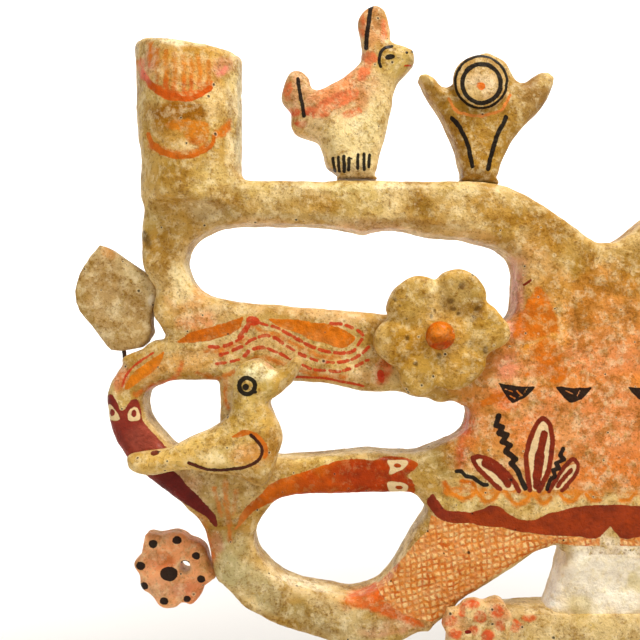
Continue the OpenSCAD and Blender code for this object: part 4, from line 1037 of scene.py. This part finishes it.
def make_body():
    h = 1.2
    g = Grid2(AXIS - 420 * h, AXIS, 30.0, 660.0, h)
    low = lambda L: L
    d_out = g.sdf(fit(OUTER), 34.0)
    d2 = d_out
    for L, k in ((HOLE_A, 11.0), (HOLE_B, 9.0), (HOLE_C, 10.0), (HOLE_D, 8.0)):
        d2 = np.maximum(d2, -g.sdf(fit(L, r=k, hole=True), 34.0))
    XX, YY = np.meshgrid(g.X, g.Y, indexing="ij")
    # thickness: slimmer towards the neck, fuller along the middle of a coil
    H = 24.4 - 4.4 * smoothstep(548, 575, YY) * smoothstep(470, 540, XX)
    H = H - 1.6 * (1 - np.clip(-d2 / 20.0, 0, 1)) ** 2
    r = 10.5 - 3.5 * smoothstep(540, 570, YY) * (1 - smoothstep(440, 480, XX)) + 0 * XX
    h0 = 66.0
    depth = np.arange(-h0, h0 + 0.1, h)
    F = slab_field(d2, depth, 0.0, H, r).astype(np.float32)
    # the strut behind the bird's neck
    i0 = int((205 - g.x0) / h)
    i1 = int((262 - g.x0) / h)
    j0 = int((350 - g.y0) / h)
    j1 = int((470 - g.y0) / h)
    x, Y, y = g.X[i0:i1, None, None], depth[None, :, None], g.Y[None, None, j0:j1]
    st = np.sqrt(np.maximum(np.abs(x - 235.5) - 4.5, 0) ** 2 + np.maximum(np.abs(Y + 8.5) - 7.5, 0) ** 2
                 + np.maximum(np.abs(y - 415) - 42, 0) ** 2) - 7.5
    F[i0:i1, :, j0:j1] = smin(F[i0:i1, :, j0:j1], st.astype(np.float32), 5.0)
    # the candle cup
    i1 = int((262 - g.x0) / h)
    i0 = int((120 - g.x0) / h)
    j1 = int((235 - g.y0) / h)
    x, Y, y = g.X[i0:i1, None, None], depth[None, :, None], g.Y[None, None, :j1]
    cx = 190.0 + 2.0 * smoothstep(60, 200, y)
    rho = np.sqrt((x - cx) ** 2 + (Y * 1.02) ** 2)
    R = 52.6 - 4.2 * smoothstep(70, 205, y)
    top = 48.5 + 0.13 * (x - 190) - 0.20 * Y - 3.0 * smoothstep(236, 246, x)
    rr = 9.0
    qx, qy = rho - R + rr, top - y + rr
    cup = np.minimum(np.maximum(qx, qy), 0) + np.sqrt(np.maximum(qx, 0) ** 2 + np.maximum(qy, 0) ** 2) - rr
    bore = np.maximum(rho - 24.4, y - (top + 71))
    bottom = y - (206 + 0.10 * (x - 190))
    cup = smax(cup, bottom, 8.0)
    both = smin(F[i0:i1, :, :j1], cup.astype(np.float32), 13.0)
    F[i0:i1, :, :j1] = smax(both, -bore.astype(np.float32), 6.0)
    full = np.concatenate([F, F[-2::-1]], axis=0)
    v, q = polygonise(full, (g.X[0], depth[0], g.Y[0]), h)
    w = world(v)
    q = orient(w, q)
    n = vertex_normals(w, q)
    ns = np.stack([n[:, 0], n[:, 1], -n[:, 2]], axis=1)
    v2, disp = roughen(v, ns, 1.5, 0.85, 0.55, 0.26)
    layers = paint("body", v2, disp)
    x, y = seen(v2)
    wv = Marks().poly(WEAVE, False)
    layers["weave"] = wv.at(x, y) - 5.0 * smoothstep(4.0, 12.0, v2[:, 1])
    nn = vertex_normals(world(v2), q)
    # share the faces out among the coils
    gl = Grid2(AXIS - 520, AXIS, 10.0, 670.0, 2.0)
    names = list(TILES)
    S = np.stack([gl.sdf(np.array(TILES[k], dtype=float), 90.0) for k in names])
    lab = np.argmin(S, axis=0)
    c = v[q].mean(axis=1)
    cxs = np.where(c[:, 0] > AXIS, 2 * AXIS - c[:, 0], c[:, 0])
    ii = np.clip(np.round((cxs - gl.x0) / 2.0).astype(int), 0, lab.shape[0] - 1)
    jj = np.clip(np.round((c[:, 2] - gl.y0) / 2.0).astype(int), 0, lab.shape[1] - 1)
    fl = lab[ii, jj]
    right = c[:, 0] > AXIS
    for t, name in enumerate(names):
        for side in (("",) if name in ("trunk_panel", "neck") else ("left", "right")):
            sel = fl == t
            if side:
                sel &= right == (side == "right")
            f = q[sel]
            if len(f) == 0:
                print("no faces for", name, side)
                continue
            used, inv = np.unique(f.ravel(), return_inverse=True)
            f = inv.reshape(-1, 4)
            pv = v2[used]
            pts, tris = close_holes(f, pv)
            lay = {k: a[used] for k, a in layers.items()}
            if len(pts):
                pv = np.concatenate([pv, pts])
                for k in lay:
                    add = np.repeat(lay[k][:1], len(pts), axis=0) if lay[k].ndim == 2 else np.full(len(pts), -4.0)
                    lay[k] = np.concatenate([lay[k], add])
            pn = np.concatenate([nn[used], np.tile([[1.0, 0, 0]], (len(pts), 1))]) if len(pts) else nn[used]
            nm = f"{name}_{side}" if side else name
            piece(nm + "_clay", [nm], SLOT[name] if name != "neck" else "cream_slip", pv, f, lay, pn, tris)


make_body()

# ------------------------------------------------------------------ the figures
RABBIT = [(337, 182), (337, 177), (331, 173), (326, 168), (323, 156), (318, 145), (310, 142), (297, 137), (292, 128), (291, 115), (283, 105), (281, 96), (283, 84), (288, 73), (295, 69), (303, 71), (310, 80), (312, 87), (317, 90), (324, 88), (338, 80), (350, 71), (360, 62), (362, 54), (360, 42), (358, 27), (360, 16), (367, 7), (377, 3), (385, 8), (389, 18), (391, 30), (392, 41), (406, 46), (413, 51), (414, 57), (413, 65), (407, 74), (398, 84), (393, 94), (391, 109), (386, 131), (381, 151), (377, 170), (375, 177), (375, 182)]
WINGED = [(459, 184), (459, 178), (457, 167), (453, 152), (446, 136), (439, 122), (431, 109), (422, 94), (418, 83), (419, 77), (425, 73), (432, 75), (437, 79), (442, 86), (448, 86), (453, 82), (457, 72), (464, 63), (475, 56), (487, 53), (500, 58), (507, 64), (511, 72), (516, 80), (522, 82), (530, 78), (541, 72), (550, 72), (555, 78), (554, 85), (548, 99), (537, 114), (524, 126), (512, 141), (502, 160), (496, 180), (496, 186)]
BIRD = [(258, 358), (247, 361), (239, 366), (234, 374), (233, 384), (232, 397), (231, 410), (226, 418), (213, 427), (197, 434), (178, 443), (164, 448), (146, 450), (133, 453), (127, 458), (128, 468), (135, 473), (143, 475), (156, 475), (172, 471), (187, 470), (202, 472), (216, 474), (231, 476), (243, 480), (255, 486), (264, 486), (269, 481), (273, 472), (278, 455), (281, 447), (283, 437), (281, 426), (276, 416), (271, 401), (276, 397), (286, 388), (295, 377), (301, 364), (300, 359), (295, 357), (288, 363), (277, 369), (270, 364)]
FLOWER = [(386, 308), (389, 298), (394, 289), (403, 282), (410, 278), (418, 276), (428, 277), (436, 279), (443, 273), (455, 269), (464, 269), (471, 272), (478, 277), (484, 285), (487, 293), (488, 301), (495, 307), (503, 316), (510, 325), (512, 337), (506, 345), (498, 350), (489, 357), (486, 369), (477, 380), (466, 388), (453, 390), (440, 388), (433, 391), (425, 396), (415, 397), (406, 391), (399, 380), (396, 369), (388, 363), (379, 355), (374, 346), (374, 335), (379, 326), (387, 318)]
LEAF = [(102, 245), (113, 250), (128, 260), (147, 272), (156, 281), (161, 290), (158, 303), (155, 318), (155.5, 333), (150, 343), (142, 348.5), (132, 350), (121, 352), (112, 352), (106, 347), (94, 330), (80, 313), (75, 304), (74, 291), (79, 273), (90, 256), (96, 250)]
ROSETTE = [(153, 529), (161, 530), (168, 529), (177, 527), (186, 529), (193, 534), (199, 536), (206, 541), (210, 548), (212, 556), (216, 566), (217, 574), (212, 580), (206, 584), (203, 590), (198, 598), (192, 604), (184, 603), (177, 607), (166, 609), (158, 605), (153, 598), (148, 594), (142, 590), (139, 583), (138, 575), (134, 568), (134, 561), (140, 554), (142, 546), (145, 536), (148, 531)]
BFLOWER = [(444, 614), (446, 608), (452, 606), (458, 606), (462, 601), (468, 598), (476, 597), (484, 599), (490, 597), (497, 596), (503, 600), (506, 607), (511, 614), (513, 622), (510, 630), (510, 638), (507, 646), (499, 650), (494, 657), (486, 664), (476, 662), (468, 665), (460, 662), (457, 654), (449, 650), (445, 643), (446, 634), (442, 626), (442, 619)]


def rabbit_half(x, y, d):
    H = 21.0 - 8.0 * smoothstep(62, 34, y) - 6.5 * smoothstep(322, 300, x)
    return H - 3.0 * smoothstep(120, 90, y) * smoothstep(330, 372, x)


v, q = solid([fit(RABBIT, 0, 21, 17)], 0.0, 21.0, 16.0, 0.95, hmap=rabbit_half,
             rmap=lambda x, y, d: np.minimum(rabbit_half(x, y, d) * 0.82, 15.0))
finish_piece("rabbit", "rabbit", "rabbit_slip", "rabbit", v, q, 0.9, 0.6, 0.35, 0.14)

v, q = solid([fit(WINGED, 0, 19, 13)], 0.0, 19.0, 12.0, 0.95,
             hmap=lambda x, y, d: 19.0 - 3.0 * smoothstep(120, 80, y) * smoothstep(30, 60, np.abs(x - 481)))
finish_piece("winged_figure", "winged_figure", "ochre_slip", "winged", v, q, 0.9, 0.6, 0.35, 0.14)

t = np.linspace(0, 2 * np.pi, 60, endpoint=False)
disc = np.stack([481 + 28.6 * np.cos(t), 82 + 28.2 * np.sin(t)], axis=1)
v, q = solid([fit(disc, -20, 6, 4, smooth=False)], -19.0, 7.5, 4.5, 0.85,
             hmap=lambda x, y, d: 5.2 + 2.6 * np.clip(-d / 26.0, 0, 1))
finish_piece("figure_head", "figure_head", "figure_disc", "head", v, q, 0.4, 0.35, 0.25, 0.12)


def bird_half(x, y, d):
    return 20.0 - 5.0 * smoothstep(190, 130, x) - 3.0 * smoothstep(272, 296, x)


v, q = solid([fit(BIRD, -44, 20, 16)], -44.0, 20.0, 15.0, 0.95, hmap=bird_half,
             rmap=lambda x, y, d: np.minimum(bird_half(x, y, d) * 0.8, 14.5))
finish_piece("bird", "bird", "bird_slip", "bird", v, q, 1.0, 0.6, 0.35, 0.14)

fc = (PPX + (441 - PPX) * (ZC - 40) / ZC, PPY + (336 - PPY) * (ZC - 40) / ZC)
FL = fit(FLOWER, -38, 11, 7)


def flower_half(x, y, d):
    """Petals swell between grooves that run in from the notches."""
    ang = np.arctan2(y - fc[1], x - fc[0])
    rad = np.hypot(x - fc[0], y - fc[1])
    groove = np.zeros_like(x)
    for px, py in ((387, 318), (436, 279), (488, 301), (489, 357), (440, 388), (397, 366)):
        a = math.atan2(py - 336, px - 441)
        da = np.abs((ang - a + np.pi) % (2 * np.pi) - np.pi)
        groove = np.maximum(groove, np.exp(-(da * rad / 6.0) ** 2) * smoothstep(14, 34, rad))
    dish = 2.6 * np.exp(-((rad - 22.0) / 9.0) ** 2)
    return 12.0 - 3.6 * groove - dish - 1.5 * smoothstep(30, 62, rad)


v, q = solid([FL], -36.0, 12.0, 7.5, 0.95, hmap=flower_half)
finish_piece("large_flower", "large_flower", "flower_slip", "flower", v, q, 0.9, 0.7, 0.4, 0.15)

bc = (PPX + (441 - PPX) * (ZC - 50) / ZC, PPY + (336 - PPY) * (ZC - 50) / ZC)
h = 0.7
X = np.arange(bc[0] - 20, bc[0] + 20, h)
Yd = np.arange(-64, -36, h)
Z = np.arange(bc[1] - 20, bc[1] + 20, h)
F = np.sqrt(((X[:, None, None] - bc[0]) / 13.9) ** 2 + ((Yd[None, :, None] + 45) / 11.0) ** 2
            + ((Z[None, None, :] - bc[1]) / 13.6) ** 2) - 1.0
v, q = polygonise(F * 11.0, (X[0], Yd[0], Z[0]), h)
finish_piece("flower_button", "flower_button", "button_orange", "button", v, q, 0.4, 0.4, 0.3, 0.12)

v, q = solid([fit(LEAF, 0, 12, 4, smooth=False)], 0.0, 12.2, 3.6, 0.95,
             hmap=lambda x, y, d: 12.4 - 2.4 * (1 - np.clip(-d / 14.0, 0, 1)) ** 1.5)
finish_piece("leaf", "leaf", "bare_clay", "leaf", v, q, 0.8, 0.6, 0.4, 0.2)

t = np.linspace(0, 2 * np.pi, 24, endpoint=False)
hole = np.stack([185.2 + 5.1 * np.cos(t), 566.3 + 5.1 * np.sin(t)], axis=1)


def rosette_half(x, y, d):
    return 13.3 - 2.2 * (1 - np.clip(-d / 12.0, 0, 1)) ** 2


v, q = solid([fit(ROSETTE, 0, 13, 6)], 0.0, 13.3, 6.0, 0.95, hmap=rosette_half,
             rmap=lambda x, y, d: 3.0 + 3.0 * smoothstep(12, 20, np.hypot(x - 185, y - 566)),
             holes=[fit(hole, -8, 0, 0, hole=True, smooth=False)])
finish_piece("rosette", "rosette", "rosette_orange", "rosette", v, q, 0.8, 0.5, 0.35, 0.15)

bfc = (478.0 - 7, 630.0 - 13)
BF = fit(BFLOWER, -38, 9, 5)


def bflower_half(x, y, d):
    ang = np.arctan2(y - bfc[1], x - bfc[0])
    rad = np.hypot(x - bfc[0], y - bfc[1])
    return 9.5 - 1.6 * np.exp(-((rad - 14) / 6.0) ** 2) + 1.2 * np.cos(6 * ang) * smoothstep(8, 24, rad)


v, q = solid([BF], -37.0, 9.5, 5.5, 0.9, hmap=bflower_half)
finish_piece("base_flower", "base_flower", "base_flower_slip", "bflower", v, q, 0.6, 0.5, 0.35, 0.14)


# ------------------------------------------------------------------ the bell base
def bell():
    OUT = [(0, 1, 1), (8, .98, .96), (20, .94, .86), (40, .88, .69), (60, .83, .51), (80, .785, .35), (100, .76, .235), (112, .752, .218), (119, .74, .208), (123, .70, .18), (124.65, .62, .13)]
    INN = [(0, 1, 1), (20, .93, .84), (40, .865, .66), (60, .805, .46), (80, .75, .275), (90, .715, .17), (94, .62, .10)]

    def dense(rings, m):
        a = np.array(rings)
        s = np.concatenate([[0], np.cumsum(np.hypot(np.diff(a[:, 0]), 90 * np.hypot(np.diff(a[:, 1]), np.diff(a[:, 2]))))])
        u = np.linspace(0, s[-1], m)
        return np.stack([np.interp(u, s, a[:, k]) for k in range(3)], axis=1)
    n = 420
    t = 2 * np.pi * np.arange(n) / n
    c, s = np.cos(t), np.sin(t)
    ex, ey = np.sign(c) * np.abs(c) ** 0.8, np.sign(s) * np.abs(s) ** 0.8
    pts = []
    out, inn = dense(OUT, 130), dense(INN, 90)[::-1]
    for z, a, b in out[::-1]:
        pts.append(np.stack([a * 92.0 * ex, b * 55.0 * ey, np.full(n, z)], axis=1))
    rows = [(r, 86.0, 49.0) for r in inn]
    foot = [np.stack([(92 - k) * ex, (55 - k) * ey, np.full(n, 0.0)], axis=1) for k in (1.5, 3.0, 4.5)]
    pts += foot
    for (z, a, b), A, B in rows[::-1]:
        pts.append(np.stack([a * A * ex, b * B * ey, np.full(n, z)], axis=1))
    m = len(pts)
    P = np.concatenate(pts)
    q = []
    i = np.arange(n)
    for k in range(m - 1):
        q.append(np.stack([k * n + i, k * n + (i + 1) % n, (k + 1) * n + (i + 1) % n, (k + 1) * n + i], axis=1))
    q = np.concatenate(q)
    top = len(P)
    P = np.concatenate([P, [[0, 0, 124.65]], [[0, 0, 94.0]]])
    tris = np.concatenate([np.stack([(i + 1) % n, i, np.full(n, top)], axis=1),
                           np.stack([(m - 1) * n + i, (m - 1) * n + (i + 1) % n, np.full(n, top + 1)], axis=1)])
    mm = U / 0.45
    sheet = np.stack([AXIS + P[:, 0] / 0.45, P[:, 1] / 0.45, FLOOR - P[:, 2] / 0.45], axis=1)
    w = world(sheet)
    cen = w[q].mean(axis=1) - np.array([0, 0, 0.05])
    fn = face_normals(w, q)
    outer = (len(out) - 1) * n
    if np.sum(fn[:outer] * cen[:outer]) < 0:
        q, tris = q[:, ::-1].copy(), tris[:, ::-1].copy()
    nrm = vertex_normals(w, q)
    nrm[-2:] = [[0, 0, 1], [0, 0, -1]]
    ns = np.stack([nrm[:, 0], nrm[:, 1], -nrm[:, 2]], axis=1)
    keep = smoothstep(0.0, 9.0, P[:, 2])[:, None]
    moved, d = roughen(sheet, ns, 1.5, 0.8, 0.4, 0.15)
    sheet = sheet * (1 - keep) + moved * keep
    lay = paint("base", sheet, d, True)
    piece("base_bell_clay", ["base_bell"], "cream_slip", sheet, q, lay, vertex_normals(world(sheet), q), tris)


bell()


# ------------------------------------------------------------------ iron wires
def wires():
    for side, sx in (("left", -1.0), ("right", 1.0)):
        n, m = 20, 26
        x0 = sx * (600 - 124)
        P = []
        for k in range(m):
            y = 372 - 35.5 * k / (m - 1)
            bend = 0.8 * math.sin(k * 0.21)
            r = 2.0 * (0.75 if k in (0, m - 1) else 1.0) + 0.10 * math.sin(k * 1.9)
            for i in range(n):
                a = 2 * math.pi * i / n
                P.append((AXIS + x0 + bend + r * math.cos(a), 0.4 * bend + r * math.sin(a), y))
        P = np.array(P)
        i = np.arange(n)
        q = np.concatenate([np.stack([k * n + i, k * n + (i + 1) % n, (k + 1) * n + (i + 1) % n, (k + 1) * n + i], axis=1) for k in range(m - 1)])
        w = world(P)
        c = w[q].mean(axis=1)
        ax = np.array([(x0) * U, 0, 0])
        fn = face_normals(w, q)
        if np.sum(fn[:, :2] * (c - ax)[:, :2]) < 0:
            q = q[:, ::-1].copy()
        pts, tris = close_holes(q, P)
        P = np.concatenate([P, pts])
        z = np.zeros(len(P))
        piece(f"leaf_wire_{side}", ["leaf_wires"], "iron_wire", P, q, {"wear": z}, None, tris)


wires()

# ------------------------------------------------------------------ stage, light and camera
def stage():
    n = 48
    prof = [(-1.6, 0.0)]
    for k in range(n + 1):
        a = math.pi / 2 * k / n
        prof.append((1.1 + 0.9 * math.sin(a), 0.9 - 0.9 * math.cos(a)))
    prof.append((2.0, 3.2))
    P, q = [], []
    for y, z in prof:
        P += [(-3.4, y, z), (3.4, y, z)]
    for k in range(len(prof) - 1):
        q.append((2 * k, 2 * k + 1, 2 * k + 3, 2 * k + 2))
    me = bpy.data.meshes.new("floor_and_backdrop")
    me.from_pydata(P, [], q)
    me.polygons.foreach_set("use_smooth", [True] * len(q))
    me.update()
    ob = bpy.data.objects.new("floor_and_backdrop", me)
    bpy.context.scene.collection.objects.link(ob)
    N = Nodes("paper_painted_shade_glow")
    p = N.new("ShaderNodeBsdfPrincipled")
    p.inputs["Base Color"].default_value = (0.92, 0.915, 0.90, 1)
    p.inputs["Roughness"].default_value = 0.9
    tc = N.new("ShaderNodeTexCoord").outputs["Object"]
    a = N.noise(tc, 3.0, 3, 0.5)
    sb = N.new("ShaderNodeSeparateXYZ")
    N.link(tc, sb.inputs[0])
    # Painted shade: the floor's colour falls to 0.62 within 0.15 m of the object's centre and reaches full at 0.75 m.
    contact_shade_fade = N.step(N.math("SQRT", N.math("ADD", N.math("POWER", sb.outputs[0], 2.0), N.math("POWER", sb.outputs[1], 2.0))), 0.15, 0.75)
    N.link(N.mix(contact_shade_fade, (0.62, 0.61, 0.60), N.mix(a, (0.93, 0.925, 0.91), (0.90, 0.895, 0.885))), p.inputs["Base Color"])
    out = N.new("ShaderNodeOutputMaterial")
    # The floor and backdrop glow, dimly under the object and most brightly on the wall: painted light that fills the
    # object's undersides, with a painted shade pool at its foot.
    sz = N.new("ShaderNodeSeparateXYZ")
    N.link(tc, sz.inputs[0])
    near = N.step(N.math("SQRT", N.math("ADD", N.math("POWER", sz.outputs[0], 2.0), N.math("POWER", sz.outputs[1], 2.0))), 0.15, 0.75)
    g = N.step(sz.outputs[2], 0.0, 0.35)
    low = N.mix(near, (0.03, 0.03, 0.03), (0.40, 0.385, 0.365))
    N.link(N.mix(g, low, (0.66, 0.635, 0.605)), p.inputs["Emission Color"])
    p.inputs["Emission Strength"].default_value = 1.0
    N.link(p.outputs[0], out.inputs[0])
    me.materials.append(N.mat)


stage()


def area_light(name, loc, target, size, power, colour=(1, 1, 1), sy=None):
    L = bpy.data.lights.new(name, "AREA")
    L.energy = power
    L.color = colour
    L.shape = "RECTANGLE"
    L.size = size
    L.size_y = sy or size
    ob = bpy.data.objects.new(name, L)
    ob.location = loc
    ob.rotation_euler = (Vector(target) - Vector(loc)).to_track_quat("-Z", "Y").to_euler()
    bpy.context.scene.collection.objects.link(ob)
    return ob


area_light("key_above", (0.25, -0.35, 1.15), (-0.05, 0, 0.22), 0.42, 13.0, (1.0, 0.97, 0.92))
area_light("fill_front", (-0.8, -1.3, 0.5), (-0.05, 0, 0.22), 1.2, 2.3, (1.0, 0.98, 0.96))
area_light("back_wash", (0.0, 0.7, 1.9), (0.0, 1.9, 0.8), 1.6, 5.0, (1.0, 0.98, 0.96), 0.8)
world_ = bpy.data.worlds.new("studio")
bpy.context.scene.world = world_
world_.use_nodes = True
bg = world_.node_tree.nodes["Background"]
bg.inputs[0].default_value = (1.0, 0.985, 0.965, 1)
bg.inputs[1].default_value = 0.42

cam = bpy.data.cameras.new("camera")
cam.lens = 36.0 * ZC / 640.0
cam.sensor_width = 36.0
cam.clip_start = 0.01
cam.clip_end = 20
co = bpy.data.objects.new("camera", cam)
co.location = ((PPX - AXIS) * U, -ZC * U, (FLOOR - PPY) * U)
co.rotation_euler = (math.pi / 2, 0, 0)
bpy.context.scene.collection.objects.link(co)
bpy.context.scene.camera = co
bpy.context.scene.view_settings.view_transform = "Standard"

print("pieces:", len(MADE), "faces:", sum(n for _, n in MADE), "largest:", max(MADE, key=lambda m: m[1]))
